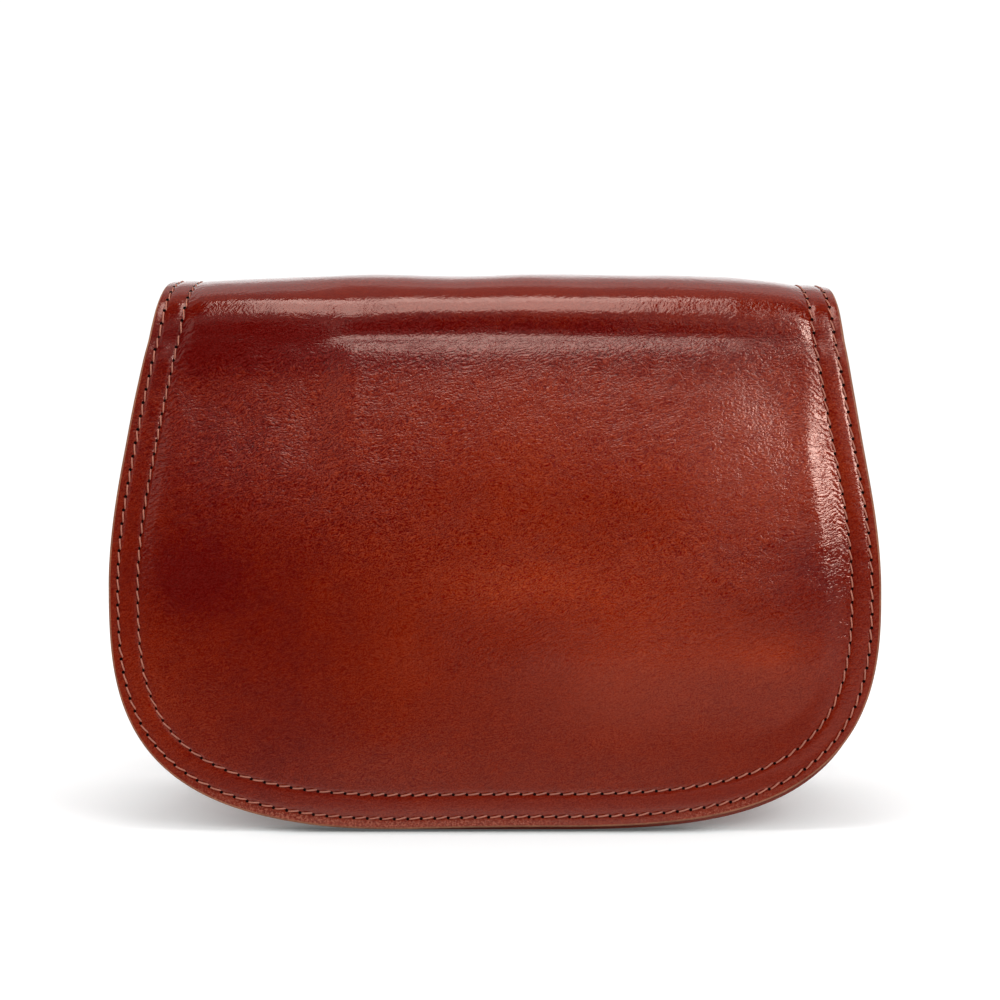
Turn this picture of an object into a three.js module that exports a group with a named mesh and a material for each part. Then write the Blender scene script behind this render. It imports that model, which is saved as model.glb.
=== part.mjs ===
// A saddle-flap crossbody bag. One hide makes the back wall, the fold over the top and the flap,
// and a gusset strip sewn round the sides and bottom holds the front and back walls apart.
// Millimetres, +Z up, the flap faces -Y, and the origin lies on the floor under the middle of the bag.
import * as THREE from "three";

// Driving dimensions of the hide's outline, the same on the back wall and on the flap
const BAG_WIDTH = 260; // across the widest line
const WAIST_WIDTH = 226; // across the top fold
const WIDEST_RISE = 82; // from a hem up to the widest line, along the leather
const HEM_FLAT = 60; // straight stretch of a hem
const CORNER = { across: 3.8, up: 2.8 }; // superellipse powers of the lower corners
const FLAP_SKEW = 1.9; // how far the flap hangs to the left at its hem

// Driving dimensions of the leather and its seams
const HIDE_THICKNESS = 2; // back wall and flap
const BODY_THICKNESS = 1.8; // front wall and gusset
const STITCHED_BORDER = 13; // flat border that the two rows of stitches hold
const SEAM_GAP = 0.3; // between two sewn layers
const FLAP_GAP = 1.4; // between the flap's border and the front wall
const FLAP_LIFT = 1.5; // from the floor up to the flap's hem
const CROWN_POWER = 3; // how quickly a wall swells inside its border

// Driving dimensions of the pouch
const GUSSET_BASE = 68; // gusset width at the floor
const GUSSET_MOUTH = 46; // gusset width at the mouth
const GUSSET_TOP = 152; // height of the mouth at the sides
const NARROWING_POWER = 2.2; // how the gusset narrows with height
const FRONT_TOP = 154; // height of the front wall
const FRONT_INSET = 1.5; // the front wall's outline lies this far inside the flap's
const FLANGE_TIP = 2.5; // outline to the gusset flange's edge
const WEB_INSET = 9.5; // outline to the middle of the gusset's web
const FLANGE_BEND = 3; // bend radius between flange and web
const WEB_DISH = 2.5; // how far the gusset's sides fall inwards at half height

// Driving dimensions of the hidden fastenings
const TAB = { width: 16, layer: 2, straight: 24, loopGap: 0.4, seat: 0.4, loopHeight: 145 };
const RING = { wire: 3, halfWidth: 11.5, drop: 17, corner: 2.5, sides: 8, steps: 36, lean: 8.5 };
const SNAP = { height: 60, radius: 9, capRadius: 7, thickness: 3.1 };

// How far each wall swells out of its seam line, by height
const WALLS = [
  { z: 0, back: 0, front: 0, flap: 0 },
  { z: 14, back: 0.6, front: 0.6, flap: 0.8 },
  { z: 32, back: 2.2, front: 2.0, flap: 3.4 },
  { z: 56, back: 3.6, front: 3.4, flap: 5.8 },
  { z: 82, back: 4.2, front: 4.0, flap: 6.6 },
  { z: 108, back: 4.0, front: 3.8, flap: 6.4 },
  { z: 132, back: 3.2, front: 2.6, flap: 5.2 },
  { z: 150, back: 2.0, front: 1.2, flap: 3.8 },
];

// Middle of the leather over the top, from the back wall to the flap
const FOLD = [
  { at: "back shoulder", y: 24.6, z: 165, swell: 1.4 },
  { at: "back roll", y: 21.2, z: 175.6, swell: 1.4 },
  { at: "back of the top", y: 12.5, z: 181.4, swell: 2.0 },
  { at: "middle of the top", y: 0, z: 182.8, swell: 2.4 },
  { at: "front of the top", y: -12.5, z: 181.6, swell: 2.4 },
  { at: "crest", y: -20.4, z: 176.8, swell: 2.2 },
  { at: "crest foot", y: -23.4, z: 170.8, swell: 1.2 },
  { at: "neck", y: -24.4, z: 166, swell: 0.8 },
  { at: "neck foot", y: -26.4, z: 160.5, swell: 2.4 },
];

// Shallow dents of the fold: place across, distance below the middle of the top, depth and reach
const DENTS = [
  { x: -55, drop: 21, depth: 1.3, reachX: 20, reachDrop: 9 },
  { x: -14, drop: 0, depth: 0.9, reachX: 18, reachDrop: 16 },
];

// How finely each stretch of a wall is divided
const CORNER_STEPS = 9;
const SIDE_STEPS = 8;
const FOLD_STEPS = 11;
const ACROSS_STEPS = 9; // from the middle to one edge
const FOLD_STRETCH = 42; // length of the finely divided stretch on each side of the fold's middle

const leather = (color) => new THREE.MeshStandardMaterial({ color, roughness: 0.35, metalness: 0 });
const hideFinish = leather(0x8a2f18);
const bodyFinish = leather(0x7c2a16);
const tabFinish = leather(0x84301a);
const brassFinish = new THREE.MeshStandardMaterial({ color: 0xb08d4f, roughness: 0.3, metalness: 1 });

const clamp01 = (value) => Math.min(1, Math.max(0, value));

// The outline

const halfWaist = WAIST_WIDTH / 2;
const halfBag = BAG_WIDTH / 2;
const halfHem = HEM_FLAT / 2;
const cornerHeight = WIDEST_RISE / (1 - (halfHem / halfBag) ** CORNER.across) ** (1 / CORNER.up);

// Half the hide's width at a distance above its hem; top is the distance from hem to the fold's middle.
function halfWidth(rise, top) {
  const below = Math.max(0, WIDEST_RISE - rise) / cornerHeight;
  const corner = (1 - below ** CORNER.up) ** (1 / CORNER.across);
  return halfBag * corner - (halfBag - halfWaist) * THREE.MathUtils.smoothstep(rise, WIDEST_RISE, top);
}

// Distances above the hem, close together where the corner turns, up to the widest line.
function cornerRises() {
  const hemAngle = Math.asin((WIDEST_RISE / cornerHeight) ** (CORNER.up / 2));
  return Array.from({ length: CORNER_STEPS + 1 }, (_, k) => {
    const angle = hemAngle * (1 - k / CORNER_STEPS);
    return WIDEST_RISE - cornerHeight * Math.sin(angle) ** (2 / CORNER.up);
  });
}

// Evenly spaced values after the first one.
function steps(from, to, count) {
  return Array.from({ length: count }, (_, k) => from + ((to - from) * (k + 1)) / count);
}

// Shares of the half width from edge to edge, close together near the edges.
const across = Array.from({ length: 2 * ACROSS_STEPS + 1 }, (_, k) =>
  Math.sin((Math.PI / 2) * (k / ACROSS_STEPS - 1)),
);

// 0 on the stitched border, rising to 1 in the middle of a wall.
function crown(share, half) {
  const inside = clamp01((half * (1 - Math.abs(share)) - STITCHED_BORDER) / (half - STITCHED_BORDER));
  return 1 - (1 - inside) ** CROWN_POWER;
}

// Seam lines: the depth of each wall's middle at its border, by height

function gussetHalf(z) {
  const narrowing = (GUSSET_BASE - GUSSET_MOUTH) * (z / GUSSET_TOP) ** NARROWING_POWER;
  return (GUSSET_BASE - narrowing) / 2;
}
const backSeam = (z) => gussetHalf(z) + SEAM_GAP + HIDE_THICKNESS / 2;
const frontSeam = (z) => -(gussetHalf(z) + SEAM_GAP + BODY_THICKNESS / 2);
const flapSeam = (z) => frontSeam(z) - BODY_THICKNESS / 2 - FLAP_GAP - HIDE_THICKNESS / 2;

// Solids

// A closed wall: a grid of points on the leather's middle, thickened along the surface normals.
// The rows in levelRows have edges that lie level on the floor.
function leatherWall(rows, thickness, levelRows = []) {
  const lastRow = rows.length - 1;
  const lastColumn = rows[0].length - 1;
  const normalAt = (i, j) => {
    const along = rows[Math.min(i + 1, lastRow)][j].clone().sub(rows[Math.max(i - 1, 0)][j]);
    const aside = rows[i][Math.min(j + 1, lastColumn)].clone().sub(rows[i][Math.max(j - 1, 0)]);
    const normal = along.cross(aside);
    if (levelRows.includes(i)) normal.z = 0;
    return normal.normalize();
  };
  const positions = [];
  for (const side of [thickness / 2, -thickness / 2])
    rows.forEach((row, i) => {
      row.forEach((point, j) => {
        const skin = point.clone().addScaledVector(normalAt(i, j), side);
        positions.push(...skin.toArray());
      });
    });
  const outer = (i, j) => i * (lastColumn + 1) + j;
  const inner = (i, j) => outer(rows.length + i, j);
  const index = [];
  const quad = (a, b, c, d) => index.push(a, b, c, a, c, d);
  for (let i = 0; i < lastRow; i++)
    for (let j = 0; j < lastColumn; j++) {
      quad(outer(i, j), outer(i + 1, j), outer(i + 1, j + 1), outer(i, j + 1));
      quad(inner(i, j), inner(i, j + 1), inner(i + 1, j + 1), inner(i + 1, j));
    }
  for (let i = 0; i < lastRow; i++) {
    const k = lastColumn;
    quad(outer(i, 0), inner(i, 0), inner(i + 1, 0), outer(i + 1, 0));
    quad(outer(i, k), outer(i + 1, k), inner(i + 1, k), inner(i, k));
  }
  for (let j = 0; j < lastColumn; j++) {
    const k = lastRow;
    quad(outer(0, j), outer(0, j + 1), inner(0, j + 1), inner(0, j));
    quad(outer(k, j), inner(k, j), inner(k, j + 1), outer(k, j + 1));
  }
  return indexedGeometry(positions, index);
}

function indexedGeometry(positions, index) {
  const geometry = new THREE.BufferGeometry();
  geometry.setAttribute("position", new THREE.Float32BufferAttribute(positions, 3));
  geometry.setIndex(index);
  geometry.computeVertexNormals();
  return geometry;
}

// A round wire bent along a closed flat line of (y, z) points.
function wireRing(line, wireRadius, sides) {
  const positions = [];
  const index = [];
  line.forEach((point, i) => {
    const before = line[(i + line.length - 1) % line.length];
    const after = line[(i + 1) % line.length];
    const outward = new THREE.Vector2(after.y - before.y, before.x - after.x).normalize();
    for (let k = 0; k < sides; k++) {
      const angle = (2 * Math.PI * k) / sides;
      const reach = wireRadius * Math.cos(angle);
      const [y, z] = [point.x + outward.x * reach, point.y + outward.y * reach];
      positions.push(wireRadius * Math.sin(angle), y, z);
      const next = (i + 1) % line.length;
      const beside = (k + 1) % sides;
      const [a, b] = [i * sides + k, i * sides + beside];
      const [c, d] = [next * sides + beside, next * sides + k];
      index.push(a, c, b, a, d, c);
    }
  });
  return indexedGeometry(positions, index);
}

function piece(name, geometry, material) {
  const mesh = new THREE.Mesh(geometry, material);
  mesh.name = name;
  return mesh;
}

// Back wall, fold and flap in one hide

// The hide's line from the back hem over the fold to the flap's hem; x carries the swell of each section.
function drapeLine() {
  const backRows = WALLS.map((row) => new THREE.Vector3(row.back, backSeam(row.z), row.z));
  const foldRows = FOLD.map((row) => new THREE.Vector3(row.swell, row.y, row.z));
  const flapRows = WALLS.map((row) => {
    const z = Math.max(row.z, FLAP_LIFT);
    return new THREE.Vector3(row.flap, flapSeam(z), z);
  });
  const points = [...backRows, ...foldRows, ...flapRows.reverse()];
  const line = new THREE.CatmullRomCurve3(points, false, "centripetal");
  line.arcLengthDivisions = 1200;
  return line;
}

function backAndFlap() {
  const line = drapeLine();
  const length = line.getLength();
  const top = length / 2;
  const foldFrom = top - FOLD_STRETCH;
  const sideRises = steps(WIDEST_RISE, foldFrom, SIDE_STEPS);
  const rises = [...cornerRises(), ...sideRises, ...steps(foldFrom, top, FOLD_STEPS)];
  const flapSide = rises.slice(0, -1).reverse();
  const places = [...rises, ...flapSide.map((rise) => length - rise)];

  const rows = places.map((place) => {
    const section = line.getPointAt(clamp01(place / length));
    const tangent = line.getTangentAt(clamp01(place / length));
    const outward = new THREE.Vector2(tangent.z, -tangent.y).normalize();
    const half = halfWidth(Math.min(place, length - place), top);
    return across.map((share) => {
      const dent = DENTS.reduce((sum, d) => {
        const awayX = (share * half - d.x) / d.reachX;
        const awayDrop = (place - top - d.drop) / d.reachDrop;
        return sum + d.depth * Math.exp(-awayX * awayX - awayDrop * awayDrop);
      }, 0);
      const swell = section.x * crown(share, half) - dent;
      const x = share * half - FLAP_SKEW * clamp01((place - top) / top);
      return new THREE.Vector3(x, section.y + outward.x * swell, section.z + outward.y * swell);
    });
  });
  return piece("back_and_flap", leatherWall(rows, HIDE_THICKNESS, [0, rows.length - 1]), hideFinish);
}

// Front wall

// Swell of the front wall at a height, straight between the rows of the table.
function frontSwell(z) {
  const above = Math.max(1, WALLS.findIndex((row) => row.z >= z));
  const upper = z > WALLS.at(-1).z ? WALLS.length - 1 : above;
  const [low, high] = [WALLS[upper - 1], WALLS[upper]];
  return THREE.MathUtils.mapLinear(z, low.z, high.z, low.front, high.front);
}

function frontPanel() {
  const heights = [...cornerRises(), ...steps(WIDEST_RISE, FRONT_TOP, SIDE_STEPS)];
  const rows = heights.map((z) => {
    const half = halfWidth(z, BAG_RISE) - FRONT_INSET;
    return across.map(
      (share) => new THREE.Vector3(share * half, frontSeam(z) - frontSwell(z) * crown(share, half), z),
    );
  });
  return piece("front_panel", leatherWall(rows, BODY_THICKNESS, [0]), bodyFinish);
}

// Gusset

// The outline from the left end of the mouth, round the bottom, to the right end, as (x, z) points.
function gussetOutline() {
  const side = [...cornerRises(), ...steps(WIDEST_RISE, GUSSET_TOP, SIDE_STEPS)];
  const right = side.map((z) => new THREE.Vector2(halfWidth(z, BAG_RISE), z));
  const left = right.map((point) => new THREE.Vector2(-point.x, point.y)).reverse();
  const bottom = steps(-halfHem, halfHem, CORNER_STEPS).slice(0, -1).map((x) => new THREE.Vector2(x, 0));
  return [...left, ...bottom, ...right];
}

// One section of the gusset, from the front flange's edge across the web to the back flange's edge:
// how far inside the outline, and the share of the gusset's half width.
function gussetSection() {
  const bendSteps = 3;
  const webSteps = 6;
  const flange = [FLANGE_TIP, (FLANGE_TIP + WEB_INSET - FLANGE_BEND) / 2];
  const front = flange.map((inset) => ({ inset, fromFlange: 0 }));
  for (let k = 0; k <= bendSteps; k++) {
    const angle = (Math.PI / 2) * (k / bendSteps);
    front.push({
      inset: WEB_INSET - FLANGE_BEND + FLANGE_BEND * Math.sin(angle),
      fromFlange: FLANGE_BEND * (1 - Math.cos(angle)),
    });
  }
  const web = steps(-1, 1, webSteps).slice(0, -1).map((share) => ({ inset: WEB_INSET, share }));
  const frontHalf = front.map((point) => ({ ...point, side: -1 }));
  const backHalf = front.map((point) => ({ ...point, side: 1 })).reverse();
  return [...frontHalf, ...web, ...backHalf];
}

function gusset() {
  const outline = gussetOutline();
  const section = gussetSection();
  const rows = outline.map((point, i) => {
    const before = outline[Math.max(i - 1, 0)];
    const after = outline[Math.min(i + 1, outline.length - 1)];
    const inward = new THREE.Vector2(before.y - after.y, after.x - before.x).normalize();
    const dish = WEB_DISH * Math.sin(Math.PI * clamp01(point.y / GUSSET_TOP)) ** 2;
    return section.map(({ inset, fromFlange, share, side }) => {
      const half = gussetHalf(point.y) - BODY_THICKNESS / 2;
      const y = side ? side * (half - fromFlange) : share * (half - FLANGE_BEND);
      const depth = side ? inset : inset + dish * (1 - share * share);
      return new THREE.Vector3(point.x + inward.x * depth, y, point.y + inward.y * depth);
    });
  });
  return piece("gusset", leatherWall(rows, BODY_THICKNESS), bodyFinish);
}

// Strap tabs and rings

const loopHole = RING.wire / 2 + TAB.loopGap;
const loopRadius = loopHole + TAB.layer;

// Side view of a folded tab: two layers sewn flat, with a round loop at the top for the ring's bar.
function tabGeometry() {
  const twoLayers = 2 * TAB.layer;
  const shape = new THREE.Shape();
  const meet = Math.sqrt(loopRadius ** 2 - (twoLayers - loopRadius) ** 2);
  shape.moveTo(0, 0).lineTo(twoLayers, 0).lineTo(twoLayers, TAB.straight - meet);
  shape.absarc(loopRadius, TAB.straight, loopRadius, -Math.asin(meet / loopRadius), Math.PI, false);
  shape.holes.push(new THREE.Path().absarc(loopRadius, TAB.straight, loopHole, 0, 2 * Math.PI, true));
  const extrusion = { depth: TAB.width, bevelEnabled: false, curveSegments: 12 };
  const geometry = new THREE.ExtrudeGeometry(shape, extrusion);
  return geometry.rotateX(Math.PI / 2).translate(0, TAB.width / 2, 0);
}

// A ring with a straight bar on top and a round bow below it.
function ringGeometry() {
  const { halfWidth: half, corner, drop, steps: count } = RING;
  const bow = half - drop;
  const line = new THREE.Path();
  line.moveTo(corner - half, 0).lineTo(half - corner, 0);
  line.absarc(half - corner, -corner, corner, Math.PI / 2, 0, true);
  line.absarc(0, bow, half, 0, Math.PI, true);
  line.absarc(corner - half, -corner, corner, Math.PI, Math.PI / 2, true);
  line.closePath();
  return wireRing(line.getSpacedPoints(count).slice(0, -1), RING.wire / 2, RING.sides);
}

// A tab on the gusset's outer face with its ring hanging against it; turn is half a turn for the left side.
function strapHolder(side, turn) {
  const faceInset = WEB_INSET - BODY_THICKNESS / 2 - TAB.seat;
  const foot = TAB.loopHeight - TAB.straight;
  const faceX = (z) => halfWidth(z, BAG_RISE) - faceInset;
  const holder = new THREE.Group();
  const tab = new THREE.Group();
  tab.position.set(faceX(foot), 0, foot);
  tab.rotation.y = -Math.atan((faceX(foot) - faceX(TAB.loopHeight)) / TAB.straight);
  const ring = piece(`strap_ring_${side}`, ringGeometry(), brassFinish);
  ring.position.set(loopRadius, 0, TAB.straight);
  ring.rotation.y = -THREE.MathUtils.degToRad(RING.lean);
  tab.add(piece(`strap_tab_${side}`, tabGeometry(), tabFinish), ring);
  holder.add(tab);
  holder.rotation.z = turn;
  return holder;
}

// Hidden snap between the flap and the front wall
function magneticSnap() {
  const seat = frontSeam(SNAP.height) - frontSwell(SNAP.height) - BODY_THICKNESS / 2 - SEAM_GAP;
  const profile = [
    [0, 0],
    [SNAP.radius, 0],
    [SNAP.radius, SNAP.thickness / 2],
    [SNAP.capRadius, SNAP.thickness / 2],
    [SNAP.capRadius, SNAP.thickness],
    [0, SNAP.thickness],
  ].map(([radius, along]) => new THREE.Vector2(radius, along));
  const snap = piece("magnetic_snap", new THREE.LatheGeometry(profile, 20), brassFinish);
  snap.rotation.x = Math.PI;
  snap.position.set(0, seat, SNAP.height);
  return snap;
}

const BAG_RISE = drapeLine().getLength() / 2; // from a hem to the middle of the fold, along the hide

const bag = new THREE.Group();
bag.add(backAndFlap(), frontPanel(), gusset(), magneticSnap());
bag.add(strapHolder("right", 0), strapHolder("left", Math.PI));

// The flap swells and hangs to one side, so the bag moves until its footprint is centred on the origin.
const footprint = new THREE.Box3().setFromObject(bag).getCenter(new THREE.Vector3());
bag.position.set(-footprint.x, -footprint.y, 0);
const model = new THREE.Group();
model.add(bag);

export default model;
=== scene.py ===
"""A saddle-flap crossbody bag: one glossy hide over a gusseted pouch, sewn round with two rows of thread."""

import logging
import math
from dataclasses import dataclass
from enum import Enum
from typing import Any, NamedTuple, Sequence

import bpy
import numpy as np
from mathutils import Matrix, Vector, noise


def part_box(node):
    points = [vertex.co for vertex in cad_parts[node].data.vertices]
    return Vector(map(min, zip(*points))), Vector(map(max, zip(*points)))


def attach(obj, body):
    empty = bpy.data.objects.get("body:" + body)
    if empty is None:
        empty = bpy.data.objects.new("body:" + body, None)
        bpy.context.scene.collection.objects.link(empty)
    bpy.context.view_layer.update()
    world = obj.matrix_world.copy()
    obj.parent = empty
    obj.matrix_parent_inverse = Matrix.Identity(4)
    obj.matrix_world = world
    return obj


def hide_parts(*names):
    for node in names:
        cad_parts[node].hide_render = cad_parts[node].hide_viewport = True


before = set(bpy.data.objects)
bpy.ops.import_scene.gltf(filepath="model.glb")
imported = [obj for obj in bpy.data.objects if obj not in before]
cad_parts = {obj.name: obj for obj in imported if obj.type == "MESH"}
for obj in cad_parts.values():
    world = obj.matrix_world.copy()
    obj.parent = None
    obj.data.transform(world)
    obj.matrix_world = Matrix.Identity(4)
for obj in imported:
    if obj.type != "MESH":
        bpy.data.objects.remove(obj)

MM = 0.001
UV_SPAN = 100.0  # millimetres of leather for one unit of a flat map
FLAT_MAP = "flat"
DARKNESS_AND_SHADE = "darkness_and_shade"
CREASED = "creased"
SCUFFED = "scuffed"
PUCKER = "pucker"
PUCKER_RUN = "pucker_run"
UP = "up"
BODY = "root"
ROW_LIFT = 0.05  # millimetres of a row of stitches above the leather
ROW_END = 3.0  # millimetres from the top of a seam's leather to its last stitch
TABLE_STEPS = 40  # points between two rows of a table
EDGE_ANGLE = 55.0  # degrees from which an edge of a wall is rounded

log = logging.getLogger("bag")
Colour = tuple[float, float, float, float]
Material = bpy.types.Material
Socket = bpy.types.NodeSocket


# Tables of the bag's section


class WallRow(NamedTuple):
    """How far each wall swells out of its seam line at one height, in millimetres."""

    z: float
    back: float
    front: float
    flap: float


class FoldRow(NamedTuple):
    """One point of the leather's middle over the top, in millimetres."""

    place: str
    y: float
    z: float
    swell: float


class Dent(NamedTuple):
    """A shallow dent of the fold: place across, distance past the top's middle, depth and reach."""

    x: float
    drop: float
    depth: float
    reach_x: float
    reach_drop: float


class BrowRow(NamedTuple):
    """Height of the leather over its plain section past the top's middle, in the bag's middle and at its ends."""

    past: float
    middle: float
    ends: float


class SpreadRow(NamedTuple):
    """How far the left and right edges lie outside the plain outline, past the top's middle."""

    past: float
    left: float
    right: float


class Patch(NamedTuple):
    """A soft patch on the flap: place across and above the hem, reach, and what it adds at its middle."""

    x: float
    rise: float
    reach_x: float
    reach_rise: float
    depth: float


class Fade(NamedTuple):
    """A soft change: where it starts, where it is complete and how much it comes to."""

    low: float
    high: float
    share: float = 1.0

    def at(self, value: np.ndarray) -> np.ndarray:
        """The change at each place."""
        return self.share * smoothstep(value, self.low, self.high)


class Ripple(NamedTuple):
    """Smooth noise over the leather: its height, its lengths across and along, and the pattern's number."""

    height: float
    across: float
    along: float
    seed: float

    def at(self, flat: np.ndarray) -> np.ndarray:
        """The noise at places on the uncut leather."""
        return self.height * noise_at(flat / (self.across, self.along), self.seed)


WALLS = (
    WallRow(z=0, back=0, front=0, flap=0),
    WallRow(z=14, back=0.6, front=0.6, flap=0.8),
    WallRow(z=32, back=2.2, front=2.0, flap=3.4),
    WallRow(z=56, back=3.6, front=3.4, flap=5.8),
    WallRow(z=82, back=4.2, front=4.0, flap=6.6),
    WallRow(z=108, back=4.0, front=3.8, flap=6.4),
    WallRow(z=132, back=3.2, front=2.6, flap=5.2),
    WallRow(z=150, back=2.0, front=1.2, flap=3.8),
)
FOLD = (
    FoldRow("back shoulder", y=24.6, z=165, swell=1.4),
    FoldRow("back roll", y=21.2, z=175.6, swell=1.4),
    FoldRow("back of the top", y=12.5, z=181.4, swell=2.0),
    FoldRow("middle of the top", y=0, z=182.8, swell=2.4),
    FoldRow("front of the top", y=-12.5, z=181.6, swell=2.4),
    FoldRow("crest", y=-20.4, z=176.8, swell=2.2),
    FoldRow("crest foot", y=-23.4, z=170.8, swell=1.2),
    FoldRow("neck", y=-24.4, z=166, swell=0.8),
    FoldRow("neck foot", y=-26.4, z=160.5, swell=2.4),
)
DENTS = (
    Dent(x=-55, drop=21, depth=1.3, reach_x=20, reach_drop=9),
    Dent(x=-14, drop=0, depth=0.9, reach_x=18, reach_drop=16),
)
FOLD_LIFT = (  # place across, and how much higher the fold lies there
    (-113, 1.0), (-80, 0.9), (-40, 1.0), (0, 1.0), (60, 1.0), (80, 0.8), (95, 0.1), (113, -0.8),
)
BROW = (
    BrowRow(past=-20, middle=0, ends=0),
    BrowRow(past=8, middle=0, ends=0.05),
    BrowRow(past=16, middle=0, ends=0.95),
    BrowRow(past=20, middle=0, ends=1.55),
    BrowRow(past=22, middle=0, ends=1.65),
    BrowRow(past=24, middle=0.15, ends=1.75),
    BrowRow(past=26, middle=0.25, ends=1.65),
    BrowRow(past=28, middle=0, ends=1.3),
    BrowRow(past=30, middle=-0.25, ends=1.22),
    BrowRow(past=32, middle=0.1, ends=1.01),
    BrowRow(past=34, middle=0.82, ends=0.27),
    BrowRow(past=36, middle=1.02, ends=-0.62),
    BrowRow(past=38, middle=0.78, ends=-1.32),
    BrowRow(past=40, middle=0.5, ends=-1.7),
    BrowRow(past=43, middle=0.45, ends=-1.92),
    BrowRow(past=48, middle=0.75, ends=-1.95),
    BrowRow(past=54, middle=0.95, ends=-1.85),
    BrowRow(past=60, middle=1.05, ends=-1.55),
    BrowRow(past=66, middle=1.12, ends=-1.1),
    BrowRow(past=72, middle=1.18, ends=-0.65),
    BrowRow(past=80, middle=1.2, ends=-0.3),
    BrowRow(past=130, middle=0, ends=0),
    BrowRow(past=300, middle=0, ends=0),
)
SPREAD = (
    SpreadRow(past=0, left=-0.2, right=0.8),
    SpreadRow(past=16, left=0.3, right=1.0),
    SpreadRow(past=32, left=1.0, right=0.9),
    SpreadRow(past=52, left=1.4, right=0.5),
    SpreadRow(past=72, left=0.8, right=-0.1),
    SpreadRow(past=100, left=0.3, right=0.1),
    SpreadRow(past=135, left=0.0, right=0.7),
    SpreadRow(past=165, left=0.0, right=0.4),
    SpreadRow(past=195, left=0.0, right=-0.8),
    SpreadRow(past=230, left=0.0, right=-0.4),
)
# Patches that darken the leather's colour where depth is positive and lighten it where negative; the long patch at rise
# 166 is painted shade on the band under the fold's crest.
TONE_PATCHES_WITH_SHADE = (
    Patch(x=10, rise=124, reach_x=33, reach_rise=50, depth=-0.22),
    Patch(x=8, rise=84, reach_x=33, reach_rise=8, depth=-0.36),
    Patch(x=50, rise=67, reach_x=28, reach_rise=28, depth=-0.36),
    Patch(x=89, rise=121, reach_x=43, reach_rise=26, depth=-0.29),
    Patch(x=-101, rise=86, reach_x=18, reach_rise=14, depth=0.34),
    Patch(x=-97, rise=124, reach_x=29, reach_rise=59, depth=0.21),
    Patch(x=108, rise=89, reach_x=18, reach_rise=16, depth=0.30),
    Patch(x=-70, rise=42, reach_x=21, reach_rise=60, depth=0.17),
    Patch(x=-26, rise=166, reach_x=115, reach_rise=10, depth=0.62),
    Patch(x=91, rise=61, reach_x=16, reach_rise=7, depth=-0.40),
    Patch(x=-30, rise=56, reach_x=12, reach_rise=17, depth=-0.19),
    Patch(x=-118, rise=42, reach_x=11, reach_rise=32, depth=-0.16),
)
CREASE_PATCHES = (
    Patch(x=-72, rise=136, reach_x=46, reach_rise=24, depth=0.80),
    Patch(x=-40, rise=108, reach_x=34, reach_rise=18, depth=0.40),
    Patch(x=-5, rise=142, reach_x=40, reach_rise=18, depth=0.35),
    Patch(x=60, rise=138, reach_x=44, reach_rise=26, depth=0.50),
    Patch(x=64, rise=94, reach_x=40, reach_rise=16, depth=0.40),
    Patch(x=8, rise=86, reach_x=30, reach_rise=14, depth=0.20),
    Patch(x=-32, rise=162, reach_x=36, reach_rise=8, depth=0.50),
    Patch(x=45, rise=161, reach_x=50, reach_rise=8, depth=0.40),
    Patch(x=100, rise=150, reach_x=16, reach_rise=30, depth=0.45),
    Patch(x=-78, rise=162, reach_x=40, reach_rise=10, depth=-0.10),
    Patch(x=0, rise=182, reach_x=150, reach_rise=7, depth=-0.25),
    Patch(x=70, rise=40, reach_x=60, reach_rise=28, depth=-0.15),
)
SCUFF_PATCHES = (
    Patch(x=-62, rise=0, reach_x=42, reach_rise=26, depth=1.0),
    Patch(x=0, rise=0, reach_x=30, reach_rise=16, depth=0.6),
    Patch(x=76, rise=8, reach_x=20, reach_rise=16, depth=0.6),
)
PUCKER_PATCHES = (
    Patch(x=-96, rise=148, reach_x=16, reach_rise=26, depth=1.0),
    Patch(x=101, rise=135, reach_x=16, reach_rise=36, depth=0.35),
)


def smoothstep(value: np.ndarray, low: float, high: float) -> np.ndarray:
    """Smooth rise from 0 at low to 1 at high."""
    share = np.clip((value - low) / (high - low), 0.0, 1.0)
    return share * share * (3.0 - 2.0 * share)


def noise_at(points: np.ndarray, seed: float) -> np.ndarray:
    """Smooth noise at flat points.

    Args:
        points: rows of two coordinates, in wavelengths.
        seed: third coordinate, which picks the pattern.

    Returns:
        One value in about -1 to 1 for each point.
    """
    return np.array([noise.noise((px, py, seed)) for px, py in points])


def patch_sum(patches: Sequence[Patch], across: np.ndarray, rise: np.ndarray) -> np.ndarray:
    """Sum of soft patches at places across and above the flap's hem.

    Args:
        patches: the patches.
        across: places across the bag.
        rise: places above the flap's hem.

    Returns:
        What they add at each place.
    """
    total = np.zeros_like(across)
    for patch in patches:
        away = ((across - patch.x) / patch.reach_x) ** 2 + ((rise - patch.rise) / patch.reach_rise) ** 2
        total += patch.depth * np.exp(-away)
    return total


# Shared sizes


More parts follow.
